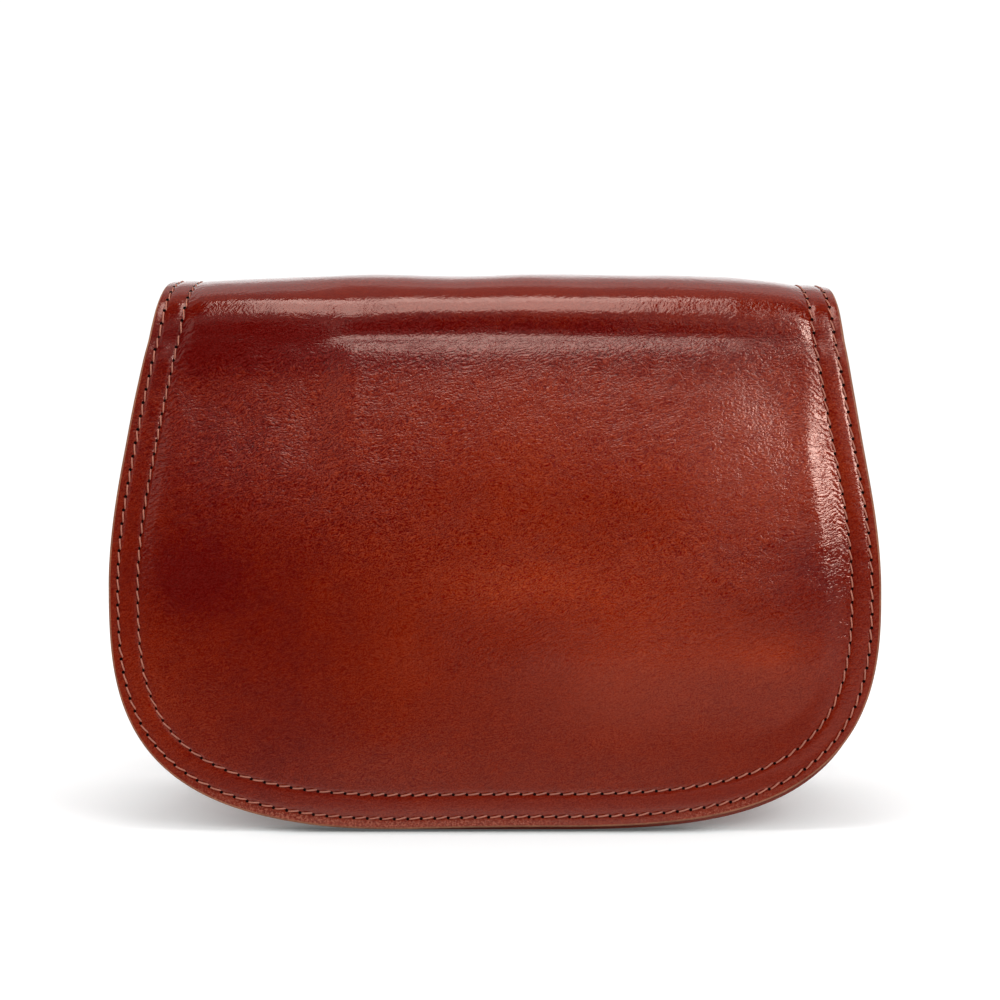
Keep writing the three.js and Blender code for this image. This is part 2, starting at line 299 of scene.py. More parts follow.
@dataclass(frozen=True)
class Pouch:
    """Sizes that the hide, the front wall and the gusset share, in millimetres."""

    gusset_base: float = 68.0
    gusset_mouth: float = 46.0
    gusset_top: float = 152.0
    narrowing_power: float = 2.2
    hide_thickness: float = 2.0
    body_thickness: float = 1.8
    seam_gap: float = 0.3
    flap_gap: float = 1.4
    flap_lift: float = 1.5
    front_top: float = 154.0
    front_inset: float = 1.5

    def gusset_half(self, z: np.ndarray) -> np.ndarray:
        """Half the gusset's width at a height."""
        narrowing = (self.gusset_base - self.gusset_mouth) * (z / self.gusset_top) ** self.narrowing_power
        return (self.gusset_base - narrowing) / 2

    def back_seam(self, z: np.ndarray) -> np.ndarray:
        """Depth of the back wall's middle at its border."""
        return self.gusset_half(z) + self.seam_gap + self.hide_thickness / 2

    def front_seam(self, z: np.ndarray) -> np.ndarray:
        """Depth of the front wall's middle at its border."""
        return -(self.gusset_half(z) + self.seam_gap + self.body_thickness / 2)

    def flap_seam(self, z: np.ndarray) -> np.ndarray:
        """Depth of the flap's middle at its border."""
        return self.front_seam(z) - self.body_thickness / 2 - self.flap_gap - self.hide_thickness / 2


@dataclass(frozen=True)
class Outline:
    """Outline of the back wall and the flap, in millimetres above a hem."""

    bag_width: float = 260.0
    waist_width: float = 226.0
    widest_rise: float = 82.0
    hem_flat: float = 60.0
    corner_across: float = 3.8
    corner_up: float = 2.8

    @property
    def corner_height(self) -> float:
        """Height of the superellipse that rounds the lower corners."""
        hem_share = (self.hem_flat / self.bag_width) ** self.corner_across
        return self.widest_rise / (1 - hem_share) ** (1 / self.corner_up)

    def half_width(self, rise: np.ndarray, top: float) -> np.ndarray:
        """Half the width at a distance above the hem.

        Args:
            rise: distances above the hem.
            top: distance from the hem to the middle of the fold.

        Returns:
            Half widths.
        """
        below = np.maximum(0.0, self.widest_rise - np.asarray(rise, float)) / self.corner_height
        corner = (1 - below**self.corner_up) ** (1 / self.corner_across)
        taper = (self.bag_width - self.waist_width) / 2 * smoothstep(rise, self.widest_rise, top)
        return self.bag_width / 2 * corner - taper

    def corner_rises(self, count: int) -> np.ndarray:
        """Distances above the hem up to the widest line, close together where the corner turns.

        Args:
            count: how many to give.

        Returns:
            The distances, from the hem up.
        """
        hem_angle = math.asin((self.widest_rise / self.corner_height) ** (self.corner_up / 2))
        angles = hem_angle * (1 - np.linspace(0, 1, count))
        return np.maximum(0.0, self.widest_rise - self.corner_height * np.sin(angles) ** (2 / self.corner_up))

    def pouch_path(self, height: float, inset: float, top: float, step: float = 2.0) -> np.ndarray:
        """Line parallel to the outline, down the left side, along the bottom and up the right side.

        Args:
            height: where the line starts and ends.
            inset: distance inside the outline.
            top: distance from the hem to the middle of the fold.
            step: spacing of the points.

        Returns:
            Rows of (x, z).
        """
        rises = np.concatenate([self.corner_rises(160), np.linspace(self.widest_rise, height, 120)[1:]])
        right = np.stack([self.half_width(rises, top), rises], 1)
        left = (right * (-1, 1))[::-1]
        bottom = np.stack([np.linspace(-self.hem_flat / 2, self.hem_flat / 2, 40)[1:-1], np.zeros(38)], 1)
        line = np.concatenate([left, bottom, right])
        tangent = np.gradient(line, axis=0)
        tangent /= np.linalg.norm(tangent, axis=1)[:, None]
        return even_steps(line + inset * np.stack([-tangent[:, 1], tangent[:, 0]], 1), step)


def even_steps(line: np.ndarray, step: float) -> np.ndarray:
    """Points at an even spacing along a line of points.

    Args:
        line: points of the line.
        step: spacing to come close to.

    Returns:
        The points, from end to end of the line.
    """
    arc = arc_lengths(line)
    places = np.linspace(0, arc[-1], max(2, round(arc[-1] / step) + 1))
    return np.stack([np.interp(places, arc, column) for column in line.T], 1)


def arc_lengths(line: np.ndarray) -> np.ndarray:
    """Distance of each point of a line from its start."""
    return np.concatenate([[0.0], np.cumsum(np.linalg.norm(np.diff(line, axis=0), axis=1))])


class Drape:
    """The hide's middle line from the back hem over the fold to the flap's hem."""

    def __init__(self, pouch: Pouch, samples: int = 400) -> None:
        """Samples the line.

        Args:
            pouch: shared sizes.
            samples: points for each stretch between two rows of the tables.
        """
        back = [(row.back, pouch.back_seam(row.z), row.z) for row in WALLS]
        fold = [(row.swell, row.y, row.z) for row in FOLD]
        flap = []
        for row in reversed(WALLS):
            z = max(row.z, pouch.flap_lift)
            flap.append((row.flap, pouch.flap_seam(z), z))
        self.line = self.smooth(np.array(back + fold + flap, float), samples)
        self.arc = arc_lengths(self.line)
        self.length = float(self.arc[-1])
        self.top = self.length / 2

    @staticmethod
    def smooth(points: np.ndarray, samples: int) -> np.ndarray:
        """Centripetal curve through points.

        Args:
            points: rows that the curve passes through.
            samples: points for each stretch.

        Returns:
            Points along the curve.
        """
        ends = [2 * points[0] - points[1], *points, 2 * points[-1] - points[-2]]
        share = np.linspace(0, 1, samples, endpoint=False)[:, None]
        stretches = []
        for p0, p1, p2, p3 in zip(ends, ends[1:], ends[2:], ends[3:]):
            d0, d1, d2 = (math.sqrt(np.linalg.norm(b - a)) for a, b in ((p0, p1), (p1, p2), (p2, p3)))
            m1 = ((p1 - p0) / d0 - (p2 - p0) / (d0 + d1) + (p2 - p1) / d1) * d1
            m2 = ((p2 - p1) / d1 - (p3 - p1) / (d1 + d2) + (p3 - p2) / d2) * d1
            cubic = 2 * p1 - 2 * p2 + m1 + m2
            square = -3 * p1 + 3 * p2 - 2 * m1 - m2
            stretches.append(p1 + share * (m1 + share * (square + share * cubic)))
        return np.concatenate([*stretches, points[-1:]])

    def section(self, place: np.ndarray) -> tuple[np.ndarray, np.ndarray, np.ndarray]:
        """Swell, depth and height of the line at distances from the back hem."""
        return tuple(np.interp(place, self.arc, column) for column in self.line.T)

    def outward(self, place: np.ndarray, reach: float = 0.4) -> tuple[np.ndarray, np.ndarray]:
        """Depth and height parts of the direction out of the bag.

        Args:
            place: distances from the back hem.
            reach: distance to each side that the slope is taken over.

        Returns:
            The two parts at each place.
        """
        before, after = np.maximum(place - reach, 0), np.minimum(place + reach, self.length)
        dy, dz = (np.interp(after, self.arc, c) - np.interp(before, self.arc, c) for c in self.line.T[1:])
        size = np.hypot(dy, dz)
        return dz / size, -dy / size


# Meshes


def new_mesh(name: str, points: np.ndarray, faces: Sequence, edges: Sequence = ()) -> bpy.types.Mesh:
    """A smooth mesh from points in metres.

    Args:
        name: the mesh's name.
        points: its points.
        faces: numbers of each face's points.
        edges: numbers of each loose edge's points.

    Returns:
        The mesh.
    """
    mesh = bpy.data.meshes.new(name)
    mesh.from_pydata(points.tolist(), list(edges), list(faces))
    mesh.shade_smooth()
    mesh.update()
    return mesh


def new_piece(name: str, mesh: bpy.types.Mesh, materials: Sequence[Material]) -> bpy.types.Object:
    """An object at the origin that shows a mesh.

    Args:
        name: the piece's name.
        mesh: its mesh.
        materials: its finishes, in the order of its faces' numbers.

    Returns:
        The piece.
    """
    piece = bpy.data.objects.new(name, mesh)
    for material in materials:
        mesh.materials.append(material)
    bpy.context.scene.collection.objects.link(piece)
    return piece


def bake_modifiers(piece: bpy.types.Object) -> None:
    """Turns a piece and its modifiers into a plain mesh.

    Args:
        piece: the piece, which keeps its name.
    """
    graph = bpy.context.evaluated_depsgraph_get()
    plain = bpy.data.meshes.new_from_object(piece.evaluated_get(graph))
    rough = piece.data
    piece.modifiers.clear()
    piece.data = plain
    bpy.data.meshes.remove(rough)
    plain.name = piece.name


def set_flat_map(mesh: bpy.types.Mesh, flat: np.ndarray) -> None:
    """Gives a mesh its flat map, from each point's place on the uncut leather in millimetres.

    Args:
        mesh: the mesh.
        flat: places (across, along), one for each of its points.
    """
    corners = np.empty(len(mesh.loops), np.int32)
    mesh.loops.foreach_get("vertex_index", corners)
    layer = mesh.uv_layers.new(name=FLAT_MAP)
    layer.data.foreach_set("uv", (flat[corners] / UV_SPAN).astype(np.float32).ravel())


def set_values(mesh: bpy.types.Mesh, name: str, values: np.ndarray) -> None:
    """Stores one number for each point of a mesh."""
    layer = mesh.attributes.new(name, "FLOAT", "POINT")
    layer.data.foreach_set("value", values.astype(np.float32))


def grid_faces(rows: int, columns: int) -> list[tuple[int, int, int, int]]:
    """Faces of a grid of points that is stored row by row.

    Args:
        rows: points down the grid.
        columns: points across it.

    Returns:
        The faces, by their points' numbers.
    """
    return [
        (i * columns + j, (i + 1) * columns + j, (i + 1) * columns + j + 1, i * columns + j + 1)
        for i in range(rows - 1)
        for j in range(columns - 1)
    ]


def leather_wall(
    name: str, grid: np.ndarray, thickness: float, materials: Sequence[Material], edge_round: float = 0.35
) -> bpy.types.Object:
    """A wall of leather with rounded cut edges.

    Args:
        name: the piece's name.
        grid: points of the leather's middle in metres, by row and column.
        thickness: of the leather, in millimetres.
        materials: grain side, cut edge and flesh side.
        edge_round: rounding of the cut edges, in millimetres.

    Returns:
        The piece.
    """
    rows, columns, _ = grid.shape
    mesh = new_mesh(name, grid.reshape(-1, 3), grid_faces(rows, columns))
    steps_down = np.linalg.norm(np.diff(grid, axis=0), axis=2).cumsum(0)[:, columns // 2]
    steps_across = np.linalg.norm(np.diff(grid, axis=1), axis=2).cumsum(1)
    flat = np.zeros((rows, columns, 2))
    flat[:, 1:, 0] = steps_across
    flat[1:, :, 1] = steps_down[:, None]
    set_flat_map(mesh, flat.reshape(-1, 2) / MM)
    piece = new_piece(name, mesh, materials)
    wall = piece.modifiers.new("thickness", "SOLIDIFY")
    wall.thickness = thickness * MM
    wall.offset = 0
    wall.use_even_offset = True
    wall.material_offset = 2
    wall.material_offset_rim = 1
    edge = piece.modifiers.new("cut edge", "BEVEL")
    edge.width = edge_round * MM
    edge.segments = 2
    edge.limit_method = "ANGLE"
    edge.angle_limit = math.radians(EDGE_ANGLE)
    edge.harden_normals = False
    bake_modifiers(piece)
    piece.data.shade_smooth()
    return piece


# Finishes


class NodeGraph:
    """Adds and joins the nodes of one tree."""

    def __init__(self, tree: bpy.types.NodeTree) -> None:
        """Starts from an empty tree."""
        self.tree = tree
        tree.nodes.clear()

    @classmethod
    def of_material(cls, name: str) -> tuple["NodeGraph", Material, bpy.types.Node]:
        """A new material with a surface shader.

        Args:
            name: the material's name.

        Returns:
            The graph, the material and its surface shader.
        """
        material = bpy.data.materials.new(name)
        material.use_nodes = True
        graph = cls(material.node_tree)
        surface = graph.add("ShaderNodeBsdfPrincipled")
        graph.add("ShaderNodeOutputMaterial", {"Surface": surface.outputs["BSDF"]})
        return graph, material, surface

    def add(self, kind: str, inputs: dict | None = None, **settings: Any) -> bpy.types.Node:
        """Adds a node.

        Args:
            kind: Blender's name of the node.
            inputs: values or sockets for its inputs, by name or number.
            **settings: the node's own settings.

        Returns:
            The node.
        """
        node = self.tree.nodes.new(kind)
        for setting, value in settings.items():
            setattr(node, setting, value)
        for key, value in (inputs or {}).items():
            if isinstance(value, Socket):
                self.tree.links.new(value, node.inputs[key])
            else:
                node.inputs[key].default_value = value
        return node

    def math(self, operation: str, *values: Any) -> Socket:
        """Result of a sum on numbers or sockets."""
        return self.add("ShaderNodeMath", dict(enumerate(values)), operation=operation).outputs[0]

    def vector(self, operation: str, *values: Any) -> Socket:
        """Result of a sum on vectors or sockets."""
        return self.add("ShaderNodeVectorMath", dict(enumerate(values)), operation=operation).outputs[0]

    def ramp(self, value: Socket, low: float, high: float, start: float = 0.0, end: float = 1.0) -> Socket:
        """Smooth change from start to end while a value goes from low to high."""
        inputs = {"Value": value, 1: low, 2: high, 3: start, 4: end}
        return self.add("ShaderNodeMapRange", inputs, interpolation_type="SMOOTHSTEP").outputs[0]

    def mix(self, share: Any, first: Any, second: Any) -> Socket:
        """A mix of two colours."""
        node = self.add("ShaderNodeMix", {0: share, 6: first, 7: second}, data_type="RGBA")
        return node.outputs[2]

    def noise(self, place: Socket, scale: float, detail: float, rough: float = 0.5) -> Socket:
        """Noise at a place, as a number."""
        inputs = {"Vector": place, "Scale": scale, "Detail": detail, "Roughness": rough}
        return self.add("ShaderNodeTexNoise", inputs).outputs[0]

    def flat_place(self) -> Socket:
        """Place on the uncut leather in millimetres."""
        place = self.add("ShaderNodeUVMap", uv_map=FLAT_MAP).outputs["UV"]
        return self.add("ShaderNodeMapping", {"Vector": place, "Scale": (UV_SPAN, UV_SPAN, 1.0)}).outputs[0]

    def value_of(self, name: str) -> Socket:
        """A number stored on the mesh's points."""
        return self.add("ShaderNodeAttribute", attribute_name=name).outputs["Fac"]


@dataclass(frozen=True)
class GrainSide:
    """Glossy aniline leather mixed from cognac to oxblood by a stored darkness that also holds painted shade, with fine
    grain and short creases.
    """

    name: str = "glossy hide"
    cognac: Colour = (0.220, 0.0172, 0.0026, 1)
    oxblood: Colour = (0.089, 0.0018, 0.0009, 1)
    scuff: Colour = (0.40, 0.105, 0.055, 1)
    sheen: Colour = (1.0, 0.70, 0.60, 1)
    gloss: tuple[float, float] = (0.095, 0.15)
    contrast: tuple[float, float, float] = (0.38, 1.30, 1.70)
    # Lightening added evenly on the grain's crests: painted sheen standing in for the glints of specular light.
    painted_sheen: tuple[float, float, float] = (0.008, 0.0040, 0.0045)
    grain_height: float = 0.014
    ridge_height: float = 0.38
    crease_height: float = 0.07
    cell_height: float = 0.26
    wave_height: float = 0.42
    fold_height: float = 0.10
    pucker_height: float = 0.10
    pucker_pitch: float = 2.7
    pucker_drift: float = 9.0
    broad_scale: float = 0.022
    cloud_scale: float = 0.11
    soft_scale: float = 0.16
    worn_scale: float = 1.1
    bend_scale: float = 0.075
    bend: float = 7.5
    lean: float = 14.0
    vein_share: float = 0.6
    scuff_cover: float = 0.6
    scuff_roughness: float = 0.3
    scuff_height: float = 0.08
    refraction: float = 1.55
    patchy: bool = True

    def material(self) -> Material:
        """Builds the material on the leather's flat map.

        Returns:
            The material.
        """
        graph, material, surface = NodeGraph.of_material(self.name)
        place = graph.flat_place()
        broad = graph.noise(place, self.broad_scale, 3.0)
        cloud = graph.noise(place, self.cloud_scale, 5.0, 0.6)
        gather = graph.value_of(CREASED) if self.patchy else graph.ramp(broad, 0.35, 0.65, 0.3, 0.9)
        bent = self.bent_place(graph, place)
        ridges = graph.math("MULTIPLY", self.ridges(graph, bent), gather)
        grain = graph.math("MULTIPLY", self.grain(graph, bent), gather)
        # Stored darkness of the colour, which holds painted shade on the band under the fold.
        darkness_and_shade = graph.value_of(DARKNESS_AND_SHADE) if self.patchy else broad
        depth = graph.math("ADD", darkness_and_shade, graph.ramp(cloud, 0.3, 0.7, -0.05, 0.05))
        # Painted shade in the furrows between cells, with some pooled dye, and painted sheen on the cells' crests:
        # furrows turn darker, crests lighter.
        depth = graph.math("ADD", depth, graph.ramp(ridges, -0.10, 0.12, 0.15, -0.15))
        colour = graph.mix(depth, self.cognac, self.oxblood)
        tone = graph.vector("MULTIPLY_ADD", grain, self.contrast, (1, 1, 1))
        # Painted sheen: the grain's crests are lightened in red, green and blue alike, as glints would.
        painted_sheen = graph.vector("MULTIPLY", grain, self.painted_sheen)
        colour = graph.vector("MULTIPLY_ADD", colour, graph.vector("MAXIMUM", tone, (0.2, 0.1, 0.1)), painted_sheen)
        colour = graph.vector("MAXIMUM", colour, (0, 0, 0))
        worn = graph.ramp(graph.noise(place, self.worn_scale, 4.0, 0.7), 0.40, 0.64)
        scuffed = graph.math("MULTIPLY", worn, graph.value_of(SCUFFED))
        colour = graph.mix(graph.math("MULTIPLY", scuffed, self.scuff_cover), colour, self.scuff)
        graph.tree.links.new(colour, surface.inputs["Base Color"])

        rough = graph.ramp(cloud, 0.3, 0.7, *self.gloss)
        rough = graph.math("ADD", rough, graph.math("MULTIPLY", scuffed, self.scuff_roughness))
        graph.tree.links.new(rough, surface.inputs["Roughness"])
        surface.inputs["Specular Tint"].default_value = self.sheen
        surface.inputs["IOR"].default_value = self.refraction
        soft = graph.noise(place, self.soft_scale, 3.0, 0.5)
        graph.tree.links.new(self.relief(graph, ridges, grain, soft, scuffed), surface.inputs["Normal"])
        return material

    def bent_place(self, graph: NodeGraph, place: Socket) -> Socket:
        """Place on the leather pushed to and fro, so that creases wander.

        Args:
            graph: the material's nodes.
            place: place on the leather.

        Returns:
            The pushed place.
        """
        inputs = {"Vector": place, "Scale": self.bend_scale, "Detail": 2.5}
        warp = graph.add("ShaderNodeTexNoise", inputs).outputs["Color"]
        middle = graph.add("ShaderNodeVectorMath", {0: warp, 1: (-0.5, -0.5, 0)}, operation="ADD").outputs[0]
        push = graph.add("ShaderNodeVectorMath", {0: middle, "Scale": self.bend}, operation="SCALE").outputs[0]
        bent = graph.add("ShaderNodeVectorMath", {0: place, 1: push}, operation="ADD").outputs[0]
        turn = (0, 0, math.radians(self.lean))
        return graph.add("ShaderNodeMapping", {"Vector": bent, "Rotation": turn}).outputs[0]

    def creases(self, graph: NodeGraph, bent: Socket, stretch: tuple[float, float], width: float) -> Socket:
        """Winding creases: 0 along each crease, 1 on the smooth leather between.

        Args:
            graph: the material's nodes.
            bent: pushed place on the leather.
            stretch: how close the creases lie, across and along.
            width: how wide a crease is, as a share of the noise.

        Returns:
            The creases, as a number.
        """
        place = graph.add("ShaderNodeMapping", {"Vector": bent, "Scale": (*stretch, 1.0)}).outputs[0]
        away = graph.math("ABSOLUTE", graph.math("SUBTRACT", graph.noise(place, 1.0, 2.0, 0.55), 0.5))
        return graph.ramp(away, 0.0, width)

    def ridges(self, graph: NodeGraph, bent: Socket) -> Socket:
        """Plump cells between winding creases, in millimetres about the leather's level.

        Args:
            graph: the material's nodes.
            bent: pushed place on the leather.

        Returns:
            The height.
        """
        plump = graph.add("ShaderNodeMapping", {"Vector": bent, "Scale": (0.8, 1.25, 1.0)}).outputs[0]
        inputs = {"Vector": plump, "Smoothness": 0.3, "Scale": 1.1}
        cells = graph.add("ShaderNodeTexVoronoi", inputs, feature="SMOOTH_F1")
        domes = graph.math("MULTIPLY", graph.math("SUBTRACT", 0.42, cells.outputs[0]), self.cell_height)
        long_way = graph.add("ShaderNodeMapping", {"Vector": bent, "Scale": (0.28, 0.85, 1.0)}).outputs[0]
        waves = graph.math("SUBTRACT", graph.noise(long_way, 1.0, 2.0, 0.5), 0.5)
        waves = graph.math("MULTIPLY", waves, self.wave_height)
        lines = graph.math("SUBTRACT", self.creases(graph, bent, (0.10, 0.42), 0.05), 0.85)
        lines = graph.math("MULTIPLY", lines, self.crease_height)
        return graph.math("ADD", graph.math("ADD", domes, waves), lines)

    def grain(self, graph: NodeGraph, bent: Socket) -> Socket:
        """Fine winding grain, about -1 in the furrows and 1 on the crests between them.

        Args:
            graph: the material's nodes.
            bent: pushed place on the leather.

        Returns:
            The grain, as a number.
        """
        place = graph.add("ShaderNodeMapping", {"Vector": bent, "Scale": (1.7, 2.7, 1.0)}).outputs[0]
        fine = graph.ramp(graph.noise(place, 1.0, 2.0, 0.6), 0.32, 0.68, -0.9, 0.9)
        veins = graph.math("SUBTRACT", 0.65, self.creases(graph, bent, (0.45, 1.15), 0.16))
        return graph.math("ADD", fine, graph.math("MULTIPLY", veins, self.vein_share))

    def relief(self, graph: NodeGraph, ridges: Socket, grain: Socket, soft: Socket, scuffed: Socket) -> Socket:
        """Bump of the leather.

        Args:
            graph: the material's nodes.
            ridges: height of cells and creases.
            grain: fine grain.
            soft: broad unevenness.
            scuffed: how worn the leather is.

        Returns:
            The bumped normal.
        """
        height = graph.math("MULTIPLY", ridges, self.ridge_height)
        height = graph.math("ADD", height, graph.math("MULTIPLY", grain, self.grain_height))
        height = graph.math("ADD", height, graph.math("MULTIPLY", soft, self.fold_height))
        frayed = graph.math("MULTIPLY", scuffed, graph.math("MULTIPLY", grain, self.scuff_height))
        height = graph.math("ADD", height, frayed)
        if self.patchy:
            run = graph.math("ADD", graph.value_of(PUCKER_RUN), graph.math("MULTIPLY", soft, self.pucker_drift))
            waves = graph.math("SINE", graph.math("MULTIPLY", run, math.tau / self.pucker_pitch))
            puckers = graph.math("MULTIPLY", waves, graph.value_of(PUCKER))
            height = graph.math("ADD", height, graph.math("MULTIPLY", puckers, self.pucker_height))
        return graph.add("ShaderNodeBump", {"Height": height, "Distance": MM, "Strength": 1.0}).outputs[0]


@dataclass(frozen=True)
class FibreSide:
    """Bare leather fibre: a cut edge or the flesh side."""

    name: str
    light: Colour
    dark: Colour
    roughness: float = 0.85
    nap: float = 0.12
    fibre_scale: float = 1.1
    cloud_scale: float = 0.09

    def material(self) -> Material:
        """Builds the material on the leather's flat map.

        Returns:
            The material.
        """
        graph, material, surface = NodeGraph.of_material(self.name)
        place = graph.flat_place()
        fibre = graph.noise(place, self.fibre_scale, 5.0, 0.7)
        cloud = graph.noise(place, self.cloud_scale, 3.0)
        shade = graph.math("ADD", graph.ramp(fibre, 0.3, 0.7, 0, 0.6), graph.ramp(cloud, 0.3, 0.7, 0, 0.4))
        graph.tree.links.new(graph.mix(shade, self.dark, self.light), surface.inputs["Base Color"])
        surface.inputs["Roughness"].default_value = self.roughness
        surface.inputs["Specular IOR Level"].default_value = 0.25
        bump = graph.add("ShaderNodeBump", {"Height": fibre, "Distance": self.nap * MM, "Strength": 1.0})
        graph.tree.links.new(bump.outputs[0], surface.inputs["Normal"])
        return material


@dataclass(frozen=True)
class ThreadFinish:
    """Waxed thread with a faint twist."""

    name: str = "waxed thread"
    light: Colour = (0.42, 0.130, 0.074, 1)
    dark: Colour = (0.28, 0.075, 0.044, 1)
    fuzz_scale: float = 2600.0
    fuzz_height: float = 0.06
    patch_scale: float = 90.0

    def material(self) -> Material:
        """Builds the material on object coordinates.

        Returns:
            The material.
        """
        graph, material, surface = NodeGraph.of_material(self.name)
        place = graph.add("ShaderNodeTexCoord").outputs["Object"]
        fuzz = graph.noise(place, self.fuzz_scale, 3.0)
        patches = graph.noise(place, self.patch_scale, 2.0)
        shade = graph.math("ADD", graph.ramp(fuzz, 0.3, 0.7, 0, 0.6), graph.ramp(patches, 0.3, 0.7, 0, 0.4))
        graph.tree.links.new(graph.mix(shade, self.dark, self.light), surface.inputs["Base Color"])
        surface.inputs["Roughness"].default_value = 0.6
        bump = graph.add("ShaderNodeBump", {"Height": fuzz, "Distance": self.fuzz_height * MM, "Strength": 1.0})
        graph.tree.links.new(bump.outputs[0], surface.inputs["Normal"])
        return material


@dataclass(frozen=True)
class HoleShadeFinish:
    """Painted shade of a needle hole: a near-black, unshiny colour on a flat disc."""

    name: str = "needle hole"
    dark: Colour = (0.002, 0.001, 0.001, 1)
    light: Colour = (0.006, 0.003, 0.003, 1)

    def material(self) -> Material:
        """Builds the material on object coordinates.

        Returns:
            The material.
        """
        graph, material, surface = NodeGraph.of_material(self.name)
        place = graph.add("ShaderNodeTexCoord").outputs["Object"]
        colour = graph.mix(graph.noise(place, 900.0, 2.0), self.dark, self.light)
        graph.tree.links.new(colour, surface.inputs["Base Color"])
        surface.inputs["Roughness"].default_value = 0.9
        surface.inputs["Specular IOR Level"].default_value = 0.0
        return material


@dataclass(frozen=True)
class BrassFinish:
    """Cast brass with soft handling marks."""

    name: str
    light: Colour = (0.60, 0.42, 0.17, 1)
    dark: Colour = (0.38, 0.24, 0.08, 1)
    gloss: tuple[float, float] = (0.18, 0.36)
    cloud_scale: float = 160.0
    mark_scale: float = 1400.0
    mark_height: float = 0.02

    def material(self) -> Material:
        """Builds the material on object coordinates.

        Returns:
            The material.
        """
        graph, material, surface = NodeGraph.of_material(self.name)
        place = graph.add("ShaderNodeTexCoord").outputs["Object"]
        cloud = graph.noise(place, self.cloud_scale, 4.0, 0.6)
        colour = graph.mix(graph.ramp(cloud, 0.3, 0.7), self.dark, self.light)
        graph.tree.links.new(colour, surface.inputs["Base Color"])
        graph.tree.links.new(graph.ramp(cloud, 0.3, 0.7, *self.gloss), surface.inputs["Roughness"])
        surface.inputs["Metallic"].default_value = 1.0
        marks = graph.noise(place, self.mark_scale, 2.0)
        bump = graph.add("ShaderNodeBump", {"Height": marks, "Distance": self.mark_height * MM})
        graph.tree.links.new(bump.outputs[0], surface.inputs["Normal"])
        return material


@dataclass(frozen=True)
class Finishes:
    """Every finish of the bag, as materials."""

    hide: Material
    body: Material
    cut_edge: Material
    flesh: Material
    thread: Material
    hole: Material
    ring: Material
    snap: Material

    @classmethod
    def make(cls) -> "Finishes":
        """Builds every material once.

        Returns:
            The finishes.
        """
        edge = FibreSide("cut edge", light=(0.30, 0.115, 0.058, 1), dark=(0.16, 0.050, 0.026, 1))
        flesh = FibreSide("flesh side", light=(0.33, 0.15, 0.075, 1), dark=(0.19, 0.07, 0.035, 1), nap=0.2)
        return cls(
            hide=GrainSide().material(),
            body=GrainSide("satin leather", gloss=(0.36, 0.5), patchy=False).material(),
            cut_edge=edge.material(),
            flesh=flesh.material(),
            thread=ThreadFinish().material(),
            # Painted shade for the needle holes.
            hole=HoleShadeFinish().material(),
            ring=BrassFinish("polished brass").material(),
            snap=BrassFinish("satin brass", gloss=(0.3, 0.48)).material(),
        )

    def leather(self) -> list[Material]:
        """Grain side, cut edge and flesh side of the pouch's leather."""
        return [self.body, self.cut_edge, self.flesh]


# Sewing


class StitchShape(Enum):
    """What a row repeats at its pitch."""

    THREAD = "thread"
    NEEDLE_HOLE = "needle_hole"


class SewnPath(NamedTuple):
    """A line to sew along, in metres, with the direction out of the leather at each point."""

    points: np.ndarray
    up: np.ndarray
    closed: bool


